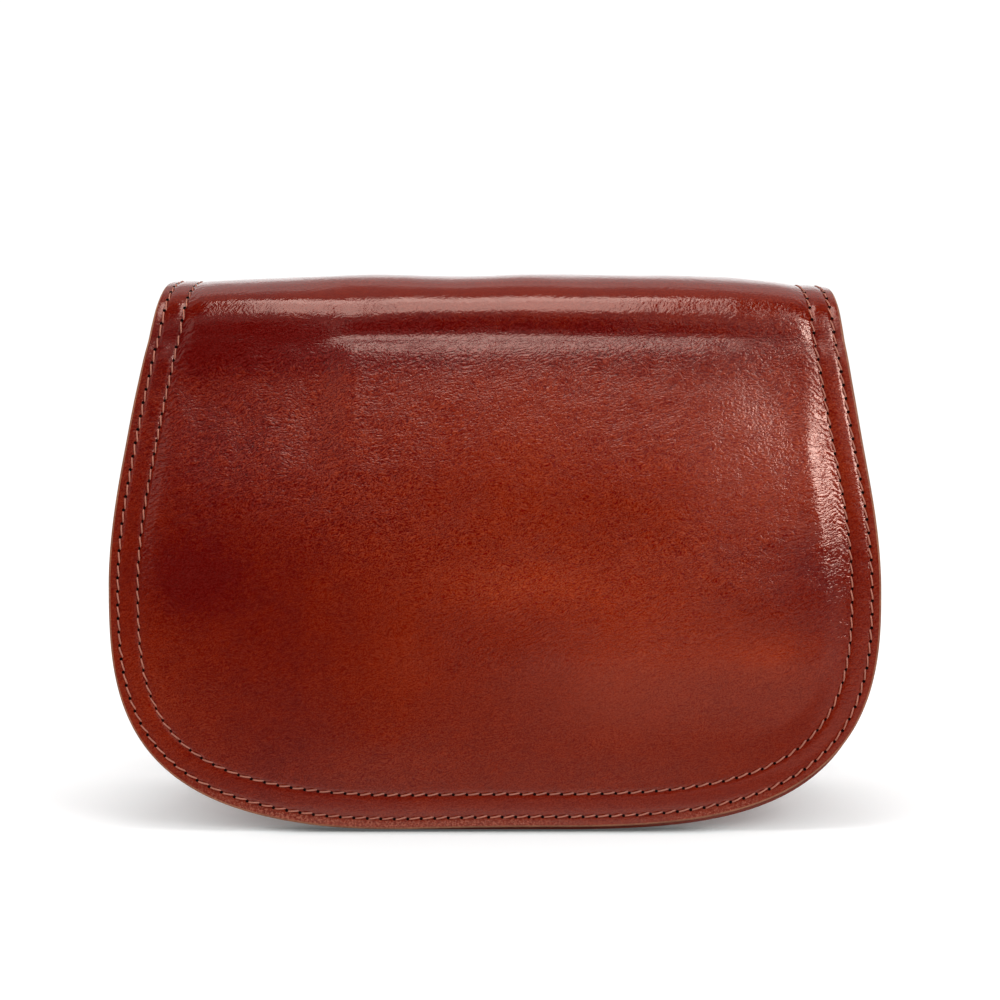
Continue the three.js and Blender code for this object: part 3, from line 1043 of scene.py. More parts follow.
@dataclass(frozen=True)
class Sewing:
    """A saddle-stitched row, in millimetres."""

    pitch: float = 4.6
    length: float = 3.9
    radius: float = 0.28
    lift: float = 0.26
    sink: float = 0.30
    slant: float = 11.0
    hole_radius: float = 0.54
    hole_aside: float = 0.18
    unevenness: float = 0.06
    seed: int = 7

    def sew(
        self, name: str, paths: Sequence[SewnPath], shape: StitchShape, material: Material
    ) -> bpy.types.Object:
        """Repeats a stitch or a disc of painted needle-hole shade along lines.

        Args:
            name: the piece's name.
            paths: the lines to sew along.
            shape: what to repeat.
            material: its finish.

        Returns:
            The piece, as a plain mesh.
        """
        edges, first = [], 0
        for path in paths:
            count = len(path.points)
            edges += [(first + k, first + k + 1) for k in range(count - 1)]
            edges += [(first + count - 1, first)] if path.closed else []
            first += count
        mesh = new_mesh(name, np.concatenate([path.points for path in paths]), [], edges)
        up = mesh.attributes.new(UP, "FLOAT_VECTOR", "POINT")
        up.data.foreach_set("vector", np.concatenate([path.up for path in paths]).astype(np.float32).ravel())
        piece = new_piece(name, mesh, [])
        tree = self.tree(name, shape)
        row = piece.modifiers.new("row", "NODES")
        row.node_group = tree
        values = {
            "Pitch": self.pitch * MM,
            "Length": self.length * MM,
            "Radius": (self.radius if shape is StitchShape.THREAD else self.hole_radius) * MM,
            "Lift": self.lift * MM,
            "Sink": self.sink * MM,
            "Aside": self.hole_aside * MM,
            "Slant": math.radians(self.slant),
            "Seed": self.seed,
            "Finish": material,
        }
        for socket in tree.interface.items_tree:
            if socket.in_out == "INPUT" and socket.name in values:
                row[socket.identifier] = values[socket.name]
        bake_modifiers(piece)
        return piece

    def tree(self, name: str, shape: StitchShape) -> bpy.types.NodeTree:
        """Node tree that repeats one shape along a line at the row's pitch.

        Args:
            name: the tree's name.
            shape: what to repeat.

        Returns:
            The tree.
        """
        tree = bpy.data.node_groups.new(name, "GeometryNodeTree")
        graph = NodeGraph(tree)
        face = tree.interface
        face.new_socket("Geometry", in_out="INPUT", socket_type="NodeSocketGeometry")
        for size in ("Pitch", "Length", "Radius", "Lift", "Sink", "Aside", "Slant"):
            face.new_socket(size, in_out="INPUT", socket_type="NodeSocketFloat")
        face.new_socket("Seed", in_out="INPUT", socket_type="NodeSocketInt")
        face.new_socket("Finish", in_out="INPUT", socket_type="NodeSocketMaterial")
        face.new_socket("Geometry", in_out="OUTPUT", socket_type="NodeSocketGeometry")
        given = graph.add("NodeGroupInput").outputs
        line = graph.add("GeometryNodeMeshToCurve", {"Mesh": given["Geometry"]}).outputs[0]
        even = graph.add("GeometryNodeResampleCurve", {"Curve": line, "Length": given["Pitch"]}, mode="LENGTH")
        tangent = graph.add("GeometryNodeInputTangent").outputs[0]
        up = graph.add("GeometryNodeInputNamedAttribute", {"Name": UP}, data_type="FLOAT_VECTOR").outputs[0]
        along = graph.add("FunctionNodeAlignRotationToVector", {"Vector": tangent}, axis="X").outputs[0]
        level = graph.add(
            "FunctionNodeAlignRotationToVector", {"Rotation": along, "Vector": up}, axis="Z", pivot_axis="X"
        ).outputs[0]
        wobble = graph.add("FunctionNodeRandomValue", {"Seed": given["Seed"]}, data_type="FLOAT")
        wobble.inputs[2].default_value, wobble.inputs[3].default_value = -self.unevenness, self.unevenness
        turn = graph.math("ADD", given["Slant"], wobble.outputs[1])
        spin = graph.add("ShaderNodeCombineXYZ", {"Z": turn}).outputs[0]
        by = graph.add("FunctionNodeEulerToRotation", {0: spin}).outputs[0]
        turned = graph.add(
            "FunctionNodeRotateRotation", {"Rotation": level, "Rotate By": by}, rotation_space="LOCAL"
        ).outputs[0]
        if shape is StitchShape.THREAD:
            one = self.thread_shape(graph, given)
        else:
            one = self.hole_shape(graph, given)
            turned = level
        inputs = {"Points": even.outputs[0], "Instance": one, "Rotation": turned}
        placed = graph.add("GeometryNodeInstanceOnPoints", inputs)
        solid = graph.add("GeometryNodeRealizeInstances", {"Geometry": placed.outputs[0]}).outputs[0]
        dressed = graph.add("GeometryNodeSetMaterial", {"Geometry": solid, "Material": given["Finish"]}).outputs[0]
        graph.add("NodeGroupOutput", {"Geometry": dressed})
        return tree

    @staticmethod
    def thread_shape(graph: NodeGraph, given: bpy.types.NodeOutputs) -> Socket:
        """One stitch: a short arch of round thread that dips into the leather at both ends.

        Args:
            graph: the row's nodes.
            given: the row's inputs.

        Returns:
            The stitch.
        """
        half = graph.math("MULTIPLY", given["Length"], 0.5)
        under = graph.math("MULTIPLY", given["Sink"], -1.0)
        crest = graph.math("ADD", graph.math("MULTIPLY", given["Lift"], 2.0), given["Sink"])
        start = graph.add("ShaderNodeCombineXYZ", {"X": graph.math("MULTIPLY", half, -1.0), "Z": under}).outputs[0]
        middle = graph.add("ShaderNodeCombineXYZ", {"Z": crest}).outputs[0]
        end = graph.add("ShaderNodeCombineXYZ", {"X": half, "Z": under}).outputs[0]
        arch = graph.add(
            "GeometryNodeCurveQuadraticBezier", {"Resolution": 6, "Start": start, "Middle": middle, "End": end}
        ).outputs[0]
        ring = graph.add("GeometryNodeCurvePrimitiveCircle", {"Resolution": 7, "Radius": given["Radius"]}).outputs[0]
        tube = graph.add("GeometryNodeCurveToMesh", {"Curve": arch, "Profile Curve": ring, "Fill Caps": True})
        return graph.add("GeometryNodeSetShadeSmooth", {"Geometry": tube.outputs[0]}).outputs[0]

    @staticmethod
    def hole_shape(graph: NodeGraph, given: bpy.types.NodeOutputs) -> Socket:
        """One flat dark disc of painted shade for a needle hole between two stitches, a little to one side of the row.

        Args:
            graph: the row's nodes.
            given: the row's inputs.

        Returns:
            The hole.
        """
        inputs = {"Vertices": 10, "Radius": given["Radius"]}
        disc = graph.add("GeometryNodeMeshCircle", inputs, fill_type="NGON").outputs[0]
        ahead = graph.math("MULTIPLY", given["Pitch"], 0.5)
        place = graph.add("ShaderNodeCombineXYZ", {"X": ahead, "Y": given["Aside"], "Z": ROW_LIFT * MM}).outputs[0]
        return graph.add("GeometryNodeTransform", {"Geometry": disc, "Translation": place}).outputs[0]

    def dress(self, name: str, paths: Sequence[SewnPath], finishes: Finishes) -> list[bpy.types.Object]:
        """Sews lines with thread and with dark discs of painted shade for the needle holes.

        Args:
            name: start of the pieces' names.
            paths: the lines to sew along.
            finishes: the bag's materials.

        Returns:
            The thread and the discs of hole shade.
        """
        pieces = [
            self.sew(f"{name}_stitches", paths, StitchShape.THREAD, finishes.thread),
            self.sew(f"{name}_needle_hole_shade", paths, StitchShape.NEEDLE_HOLE, finishes.hole),
        ]
        for piece in pieces:
            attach(piece, BODY)
        return pieces


# The hide


@dataclass
class Hide:
    """Back wall, fold and flap in one hide, with its stitched border and cut edge."""

    pouch: Pouch
    outline: Outline
    drape: Drape
    shift: Vector
    skew: float = 1.9
    border: float = 13.0
    crown_power: float = 3.0
    outer_row: float = 4.0
    inner_row: float = 12.0
    side_squeeze: float = 0.17
    hem_sag: float = 1.0
    groove: float = 0.26
    groove_width: float = 0.75
    band_swell: float = 0.32
    pillow: float = 1.0
    pillow_at_hem: float = 0.3
    pillow_at_fold: float = 0.35
    pillow_at_right: float = 2.3
    pillow_reach: tuple[float, float] = (7.0, 12.0)
    pucker_lean: float = 0.9
    brow_fall: float = 0.028
    dye_depth: float = 0.58
    deep: float = 20.5
    inner_groove_share: float = 1.2
    hem_zone: Fade = Fade(-60, -15)
    fold_zone: float = 32.0
    right_zone: Fade = Fade(20, 70)
    right_zone_past: Fade = Fade(35, 75)
    pillow_gap: float = 0.2
    pillow_power: float = 2.6
    brow_start: Fade = Fade(-61, -47)
    brow_ease: Fade = Fade(10, 50, 0.25)
    brow_end: Fade = Fade(62, 98, 0.75)
    brow_level: float = 10.0
    fill_ease: Fade = Fade(40, 75, 0.45)
    fill_end: Fade = Fade(98, 110)
    ripples: tuple[Ripple, ...] = (Ripple(0.38, 46, 34, 3.7), Ripple(0.16, 17, 13, 9.1))
    ripple_zone: Fade = Fade(11, 24)
    lift_reach: float = 30.0
    sag_place: float = -45.0
    sag_reach: float = 34.0
    sag_zone: Fade = Fade(-24, 0)
    dye_ripple: Ripple = Ripple(0.05, 24, 19, 5.9)
    crease_base: float = 0.46
    crease_ripple: Ripple = Ripple(0.12, 40, 26, 2.4)
    crease_range: tuple[float, float] = (0.1, 1.5)
    scuff_base: float = 0.12
    scuff_end: Fade = Fade(2.6, 3.8)
    pucker_base: float = 0.15
    pucker_start: Fade = Fade(0, 1.2)
    pucker_end: Fade = Fade(13.4, 20.4)
    row_lift: float = 0.12
    corner_samples: int = 400
    side_samples: int = 900
    hem_samples: int = 160
    along_steps: int = 260
    across_steps: int = 106
    outer_insets: tuple[float, ...] = (
        20.5, 18.4, 16.6, 15.2, 14.2, 13.5, 13.0, 12.6, 12.25, 11.9, 11.5, 11.0, 10.2, 9.0,
        7.6, 6.4, 5.5, 4.95, 4.55, 4.2, 3.85, 3.5, 3.0, 2.2, 1.6, 1.2, 0.9,
    )
    rim: tuple[tuple[float, float], ...] = (
        (0.5, 0.07), (0.2, 0.2), (0.04, 0.38), (0.0, 0.6), (0.05, 0.84), (0.2, 0.96),
    )
    inner_insets: tuple[float, ...] = (0.45, 2.0, 5.0, 9.0, 14.0, 20.5)

    def flat_outline(self) -> tuple[np.ndarray, np.ndarray]:
        """The uncut leather's outline, anticlockwise from the corner at the right of the back hem.

        Returns:
            Points (across, along) and the directions into the leather.
        """
        length, top = self.drape.length, self.drape.top
        corner = self.outline.corner_rises(self.corner_samples)
        widest = self.outline.widest_rise
        side = np.linspace(widest, length - widest, self.side_samples)[1:-1]
        along = np.concatenate([corner, side, length - corner[::-1]])
        half = self.outline.half_width(np.minimum(along, length - along), top)
        right = np.stack([half, along], 1)
        hem = np.linspace(-half[0], half[0], self.hem_samples)[1:-1]
        back_hem = np.stack([hem, np.zeros_like(hem)], 1)
        front_hem = np.stack([hem[::-1], np.full_like(hem, length)], 1)
        left = (right * (-1, 1))[::-1]
        line = np.concatenate([back_hem, right, front_hem, left])
        step = np.roll(line, -1, 0) - np.roll(line, 1, 0)
        tangent = step / np.linalg.norm(step, axis=1)[:, None]

        first = len(back_hem)
        diagonal = math.sqrt(0.5)
        turn = [first + int(np.argmax(tangent[first : first + self.corner_samples, 1] > diagonal))]
        middle = first + len(right) // 2
        turn.append(middle + int(np.argmax(tangent[middle : first + len(right), 1] < diagonal)))
        second = len(back_hem) + len(right) + len(front_hem)
        mirrored = second + len(left) - 1 + first
        turn += [mirrored - turn[1], mirrored - turn[0]]
        points, inward = [], []
        for k, steps in enumerate((self.along_steps, self.across_steps) * 2):
            span = np.arange(turn[k], turn[(k + 1) % 4] + 1 + (len(line) if k == 3 else 0)) % len(line)
            arc = arc_lengths(line[span])
            places = np.linspace(0, arc[-1], steps, endpoint=False)
            points.append(np.stack([np.interp(places, arc, c) for c in line[span].T], 1))
            normal = np.stack([np.interp(places, arc, c) for c in tangent[span].T], 1)
            normal /= np.linalg.norm(normal, axis=1)[:, None]
            inward.append(np.stack([-normal[:, 1], normal[:, 0]], 1))
        return np.concatenate(points), np.concatenate(inward)

    def squeezed(self, inward: np.ndarray) -> np.ndarray:
        """Directions into the leather, shorter at the sides, where the border is narrower than at the hems."""
        return inward * (1 - self.side_squeeze * np.abs(inward[:, :1]) ** 1.5)

    def inner_grid(self, ring: np.ndarray) -> np.ndarray:
        """Fills a ring of points with a grid between its four corners.

        Args:
            ring: points that start at the back right corner and run anticlockwise.

        Returns:
            Grid of points, by step along the right side and step towards the left.
        """
        tall, wide = self.along_steps, self.across_steps
        closed = np.concatenate([ring, ring[:1]])
        right = closed[: tall + 1]
        front = closed[tall : tall + wide + 1]
        left = closed[tall + wide : 2 * tall + wide + 1][::-1]
        back = closed[2 * tall + wide :][::-1]
        v = np.linspace(0, 1, tall + 1)[:, None, None]
        u = np.linspace(0, 1, wide + 1)[None, :, None]
        sides = (1 - u) * right[:, None] + u * left[:, None]
        hems = (1 - v) * back[None] + v * front[None]
        corners = (1 - v) * ((1 - u) * right[0] + u * left[0]) + v * ((1 - u) * right[-1] + u * left[-1])
        return sides + hems - corners

    def relief(self, inset: np.ndarray, across: np.ndarray, along: np.ndarray) -> np.ndarray:
        """Height of the outer skin over its broad form: grooves, the band between them, the pillow inside.

        Args:
            inset: distance of each place from the cut edge.
            across: places across the leather.
            along: places along it, from the back hem.

        Returns:
            Heights in millimetres.
        """
        rows = np.exp(-(((inset - self.outer_row) / self.groove_width) ** 2))
        inner = np.exp(-(((inset - self.inner_row) / self.groove_width) ** 2))
        rows = rows + self.inner_groove_share * inner
        share = np.clip((inset - self.outer_row) / (self.inner_row - self.outer_row), 0, 1)
        near_hem = self.hem_zone.at(along - self.drape.length)
        near_fold = np.exp(-(((along - self.drape.top) / self.fold_zone) ** 2))
        right = self.right_zone.at(across) * self.right_zone_past.at(along - self.drape.top)
        swell = self.pillow + (self.pillow_at_right - self.pillow) * right
        swell = swell + (self.pillow_at_hem - swell) * near_hem
        swell = swell + (self.pillow_at_fold - swell) * near_fold
        reach = self.pillow_reach[0] + (self.pillow_reach[1] - self.pillow_reach[0]) * right
        rising = np.clip((inset - self.inner_row - self.pillow_gap) / reach, 0, 1)
        full = 1 - (1 - rising) ** self.pillow_power
        full = full + (smoothstep(rising, 0, 1) - full) * right
        return self.band_swell * np.sin(np.pi * share) + swell * full - self.groove * rows

    def brow(self, across: np.ndarray, along: np.ndarray) -> np.ndarray:
        """The neck under the fold and the brow below it, deep in the middle and filled in at both ends.

        Args:
            across: places across the leather.
            along: places along it, from the back hem.

        Returns:
            Heights in millimetres.
        """
        middle = self.brow_start.at(across)
        middle = middle * (1 - self.brow_ease.at(across) - self.brow_end.at(across))
        rows = Drape.smooth(np.array(BROW, float), TABLE_STEPS).T
        aside = np.maximum(across - self.brow_level, 0) + np.maximum(-self.brow_level - across, 0)
        past = along - self.drape.top - self.brow_fall * aside
        deep, filled = (np.interp(past, rows[0], row) for row in rows[1:])
        filled = filled * (1 - self.fill_end.at(np.abs(across))) * (1 - self.fill_ease.at(across))
        return middle * deep + (1 - middle) * filled

    def wrinkles(self, flat: np.ndarray, inset: np.ndarray) -> np.ndarray:
        """Broad unevenness of the leather inside its border."""
        broad = sum(ripple.at(flat) for ripple in self.ripples)
        return self.ripple_zone.at(inset) * broad

    def surface(self, flat: np.ndarray, inset: np.ndarray, level: np.ndarray) -> np.ndarray:
        """Points of the hide in metres.

        Args:
            flat: places (across, along) on the uncut leather.
            inset: distance of each place from the cut edge.
            level: 0 on the outer skin to 1 on the inner skin.

        Returns:
            Points.
        """
        across, along = flat.T
        top, length = self.drape.top, self.drape.length
        swell, y, z = self.drape.section(along)
        out_y, out_z = self.drape.outward(along)
        half = self.outline.half_width(np.minimum(along, length - along), top)
        inside = np.clip((half - np.abs(across) - self.border) / (half - self.border), 0, 1)
        broad = swell * (1 - (1 - inside) ** self.crown_power) + self.wrinkles(flat, inset)
        for dent in DENTS:
            away = ((across - dent.x) / dent.reach_x) ** 2 + ((along - top - dent.drop) / dent.reach_drop) ** 2
            broad = broad - dent.depth * np.exp(-away)
        lift = np.interp(across, *np.array(FOLD_LIFT, float).T)
        broad = broad + lift * np.exp(-(((along - top) / self.lift_reach) ** 2)) + self.brow(across, along)
        half_wall = self.pouch.hide_thickness / 2
        height = broad + (1 - level) * (half_wall + self.relief(inset, across, along)) - level * half_wall
        rows = Drape.smooth(np.array(SPREAD, float), TABLE_STEPS).T
        left, right = (np.interp(np.abs(along - top), rows[0], row) for row in rows[1:])
        spread = np.where(across > 0, right, left) * (np.abs(across) / half) ** 2
        x = across + np.sign(across) * spread - self.skew * np.clip((along - top) / top, 0, 1)
        sag = self.hem_sag * np.exp(-(((across - self.sag_place) / self.sag_reach) ** 2))
        sag = sag * self.sag_zone.at(along - length)
        return np.stack([x, y + out_y * height, z + out_z * height - sag], 1) * MM + np.array(self.shift)

    def dress(self, mesh: bpy.types.Mesh, flat: np.ndarray, inset: np.ndarray, run: np.ndarray) -> None:
        """Stores how dark the leather is, painted shade under the fold included, and how creased, scuffed and puckered
        it is at each point.

        Args:
            mesh: the hide's mesh.
            flat: places (across, along) on the uncut leather.
            inset: distance of each place from the cut edge.
            run: distance along the cut edge.
        """
        across, along = flat.T
        rise = self.drape.length - along
        # Darkness of the colour: base level, patches and noise; the patch under the fold's crest is painted shade.
        tone_with_shade = self.dye_depth + patch_sum(TONE_PATCHES_WITH_SHADE, across, rise)
        tone_with_shade += self.dye_ripple.at(flat)
        creased = self.crease_base + patch_sum(CREASE_PATCHES, across, rise) + self.crease_ripple.at(flat)
        near_edge = 1 - self.scuff_end.at(inset)
        scuffed = np.clip(self.scuff_base + patch_sum(SCUFF_PATCHES, across, rise), 0, 1) * near_edge
        beside_row = self.pucker_start.at(inset - self.inner_row) * (1 - self.pucker_end.at(inset))
        puckered = np.clip(self.pucker_base + patch_sum(PUCKER_PATCHES, across, rise), 0, 1) * beside_row
        leaning = run + np.sign(across) * self.pucker_lean * inset
        set_values(mesh, DARKNESS_AND_SHADE, tone_with_shade)
        set_values(mesh, CREASED, np.clip(creased, *self.crease_range))
        set_values(mesh, SCUFFED, scuffed)
        set_values(mesh, PUCKER, puckered)
        set_values(mesh, PUCKER_RUN, leaning)

    def build(self, finishes: Finishes) -> bpy.types.Object:
        """Makes the hide.

        Args:
            finishes: the bag's materials.

        Returns:
            The piece.
        """
        edge, inward = self.flat_outline()
        count = len(edge)
        profile = [(inset, 0.0) for inset in self.outer_insets]
        profile += list(self.rim) + [(inset, 1.0) for inset in self.inner_insets]
        inward = self.squeezed(inward)
        grid = self.inner_grid(edge + inward * self.deep)[1:-1, 1:-1].reshape(-1, 2)
        flat = np.concatenate([edge + inward * inset for inset, _ in profile] + [grid, grid])
        nearest = np.array([np.hypot(*(edge - place).T).argmin() for place in grid])
        middle = np.hypot(*(edge[nearest] - grid).T) / np.hypot(*inward[nearest].T)
        inset = np.concatenate([np.full(count, i) for i, _ in profile] + [middle, middle])
        level = np.concatenate([np.full(count, lev) for _, lev in profile] + [np.zeros(len(grid)), np.ones(len(grid))])

        faces, finish = [], []
        last_outer, first_inner = len(self.outer_insets) - 1, len(self.outer_insets) + len(self.rim)
        for k in range(len(profile) - 1):
            ring, following = k * count, (k + 1) * count
            for j in range(count):
                after = (j + 1) % count
                faces.append((ring + j, ring + after, following + after, following + j))
            finish += [0 if k < last_outer else 2 if k >= first_inner else 1] * count
        first_grid = len(profile) * count
        for ring, start, side in ((0, first_grid, 0), (len(profile) - 1, first_grid + len(grid), 1)):
            patch = self.patch_faces(ring * count, start)
            faces += patch if side == 0 else [face[::-1] for face in patch]
            finish += [0 if side == 0 else 2] * len(patch)

        mesh = new_mesh("hide", self.surface(flat, inset, level), faces)
        set_flat_map(mesh, flat)
        run = arc_lengths(edge)
        self.dress(mesh, flat, inset, np.concatenate([np.tile(run, len(profile)), np.zeros(2 * len(grid))]))
        piece = new_piece("hide", mesh, [finishes.hide, finishes.cut_edge, finishes.flesh])
        mesh.polygons.foreach_set("material_index", finish)
        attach(piece, BODY)
        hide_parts("back_and_flap")
        return piece

    def patch_faces(self, ring: int, grid: int) -> list[tuple[int, int, int, int]]:
        """Faces of the grid inside a ring.

        Args:
            ring: number of the ring's first point.
            grid: number of the grid's first inner point.

        Returns:
            Faces that point out of the bag on the outer skin.
        """
        tall, wide = self.along_steps, self.across_steps
        number = np.empty((tall + 1, wide + 1), int)
        number[1:-1, 1:-1] = grid + np.arange((tall - 1) * (wide - 1)).reshape(tall - 1, wide - 1)
        total = 2 * (tall + wide)
        number[:, 0] = ring + np.arange(tall + 1)
        number[-1, :] = ring + tall + np.arange(wide + 1)
        number[:, -1] = ring + (2 * tall + wide - np.arange(tall + 1))
        number[0, :] = ring + (total - np.arange(wide + 1)) % total
        return [
            (number[i, j], number[i, j + 1], number[i + 1, j + 1], number[i + 1, j])
            for i in range(tall)
            for j in range(wide)
        ]

    def rows(self) -> list[SewnPath]:
        """The two lines of stitches round the hide.

        Returns:
            The lines to sew along, the outer one first.
        """
        edge, inward = self.flat_outline()
        inward = self.squeezed(inward)
        paths = []
        for inset in (self.outer_row, self.inner_row):
            flat = edge + inward * inset
            points = self.surface(flat, np.full(len(flat), inset), np.zeros(len(flat)))
            out_y, out_z = self.drape.outward(flat[:, 1])
            up = np.stack([np.zeros_like(out_y), out_y, out_z], 1)
            paths.append(SewnPath(points + up * self.row_lift * MM, up, True))
        return paths


# The pouch


@dataclass
class FrontPanel:
    """Front wall of the pouch, under the flap."""

    pouch: Pouch
    outline: Outline
    drape: Drape
    shift: Vector
    border: float = 13.0
    crown_power: float = 3.0
    seam_inset: float = 6.0

    def depth(self, x: np.ndarray, z: np.ndarray) -> np.ndarray:
        """Depth of the leather's middle at places across and up.

        Args:
            x: places across the bag.
            z: heights.

        Returns:
            Depths in millimetres.
        """
        half = self.outline.half_width(z, self.drape.top) - self.pouch.front_inset
        inside = np.clip((half - np.abs(x) - self.border) / (half - self.border), 0, 1)
        swell = np.interp(z, [row.z for row in WALLS], [row.front for row in WALLS])
        return self.pouch.front_seam(z) - swell * (1 - (1 - inside) ** self.crown_power)

    def build(self, finishes: Finishes) -> bpy.types.Object:
        """Makes the wall.

        Args:
            finishes: the bag's materials.

        Returns:
            The piece.
        """
        upper = np.linspace(self.outline.widest_rise, self.pouch.front_top, 28)[1:]
        rises = np.concatenate([self.outline.corner_rises(40), upper])
        share = np.sin(np.linspace(-np.pi / 2, np.pi / 2, 61))
        half = self.outline.half_width(rises, self.drape.top) - self.pouch.front_inset
        x = half[:, None] * share[None, :]
        z = np.repeat(rises[:, None], len(share), 1)
        grid = np.stack([x, self.depth(x, z), z], 2) * MM + np.array(self.shift)
        piece = leather_wall("front_wall", grid[:, ::-1], self.pouch.body_thickness, finishes.leather())
        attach(piece, BODY)
        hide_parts("front_panel")
        return piece

    def rows(self) -> list[SewnPath]:
        """The seam that joins the wall to the gusset.

        Returns:
            The line to sew along.
        """
        line = self.outline.pouch_path(self.pouch.front_top - ROW_END, self.seam_inset, self.drape.top)
        y = self.depth(line[:, 0], line[:, 1]) - self.pouch.body_thickness / 2 - ROW_LIFT
        points = np.stack([line[:, 0], y, line[:, 1]], 1) * MM + np.array(self.shift)
        return [SewnPath(points, np.tile((0.0, -1.0, 0.0), (len(points), 1)), False)]


@dataclass
class Gusset:
    """Strip round the sides and bottom, with a flange sewn to each wall."""

    pouch: Pouch
    outline: Outline
    drape: Drape
    shift: Vector
    flange_tip: float = 2.5
    web_inset: float = 9.5
    bend: float = 3.0
    dish: float = 2.5
    row_inset: float = 4.6

    def section(self) -> list[tuple[float, float, float]]:
        """One section as inset, distance from the flange and share of the half width, front to back.

        Returns:
            Rows of the three numbers.
        """
        front = [(inset, 0.0, -1.0) for inset in np.linspace(self.flange_tip, self.web_inset - self.bend, 5)]
        for angle in np.linspace(0, np.pi / 2, 7)[1:]:
            inset = self.web_inset - self.bend + self.bend * math.sin(angle)
            front.append((inset, self.bend * (1 - math.cos(angle)), -1.0))
        web = [(self.web_inset, self.bend, share) for share in np.linspace(-1, 1, 15)[1:-1]]
        back = [(inset, away, 1.0) for inset, away, _ in reversed(front)]
        return front + web + back

    def build(self, finishes: Finishes) -> bpy.types.Object:
        """Makes the strip.

        Args:
            finishes: the bag's materials.

        Returns:
            The piece.
        """
        line = self.outline.pouch_path(self.pouch.gusset_top, 0.0, self.drape.top, step=3.0)
        tangent = np.gradient(line, axis=0)
        tangent /= np.linalg.norm(tangent, axis=1)[:, None]
        inward = np.stack([-tangent[:, 1], tangent[:, 0]], 1)
        half = self.pouch.gusset_half(line[:, 1]) - self.pouch.body_thickness / 2
        fall = self.dish * np.sin(np.pi * np.clip(line[:, 1] / self.pouch.gusset_top, 0, 1)) ** 2
        columns = []
        for inset, away, share in self.section():
            depth = inset + fall * (1 - share * share)
            y = share * (half - self.bend) if abs(share) < 1 else share * (half - away)
            place = line + inward * np.broadcast_to(depth, len(line))[:, None]
            columns.append(np.stack([place[:, 0], y, place[:, 1]], 1))
        grid = np.stack(columns, 1) * MM + np.array(self.shift)
        piece = leather_wall("gusset_strip", grid[:, ::-1], self.pouch.body_thickness, finishes.leather())
        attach(piece, BODY)
        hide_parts("gusset")
        return piece

    def rows(self) -> list[SewnPath]:
        """The stitches that show on the two flanges.

        Returns:
            The lines to sew along, the front one first.
        """
        line = self.outline.pouch_path(self.pouch.gusset_top - ROW_END, self.row_inset, self.drape.top)
        paths = []
        for side in (-1, 1):
            y = side * (self.pouch.gusset_half(line[:, 1]) - self.pouch.body_thickness - ROW_LIFT)
            points = np.stack([line[:, 0], y, line[:, 1]], 1) * MM + np.array(self.shift)
            paths.append(SewnPath(points, np.tile((0.0, -float(side), 0.0), (len(points), 1)), False))
        return paths


# Strap fittings and snap


class Side(Enum):
    """Which end of the bag a fitting is on, with its turn about the upright axis."""

    RIGHT = ("right", 0.0)
    LEFT = ("left", math.pi)

    @property
    def label(self) -> str:
        """The side's word in names."""
        return self.value[0]

    @property
    def turn(self) -> float:
        """The side's turn about the upright axis."""
        return self.value[1]


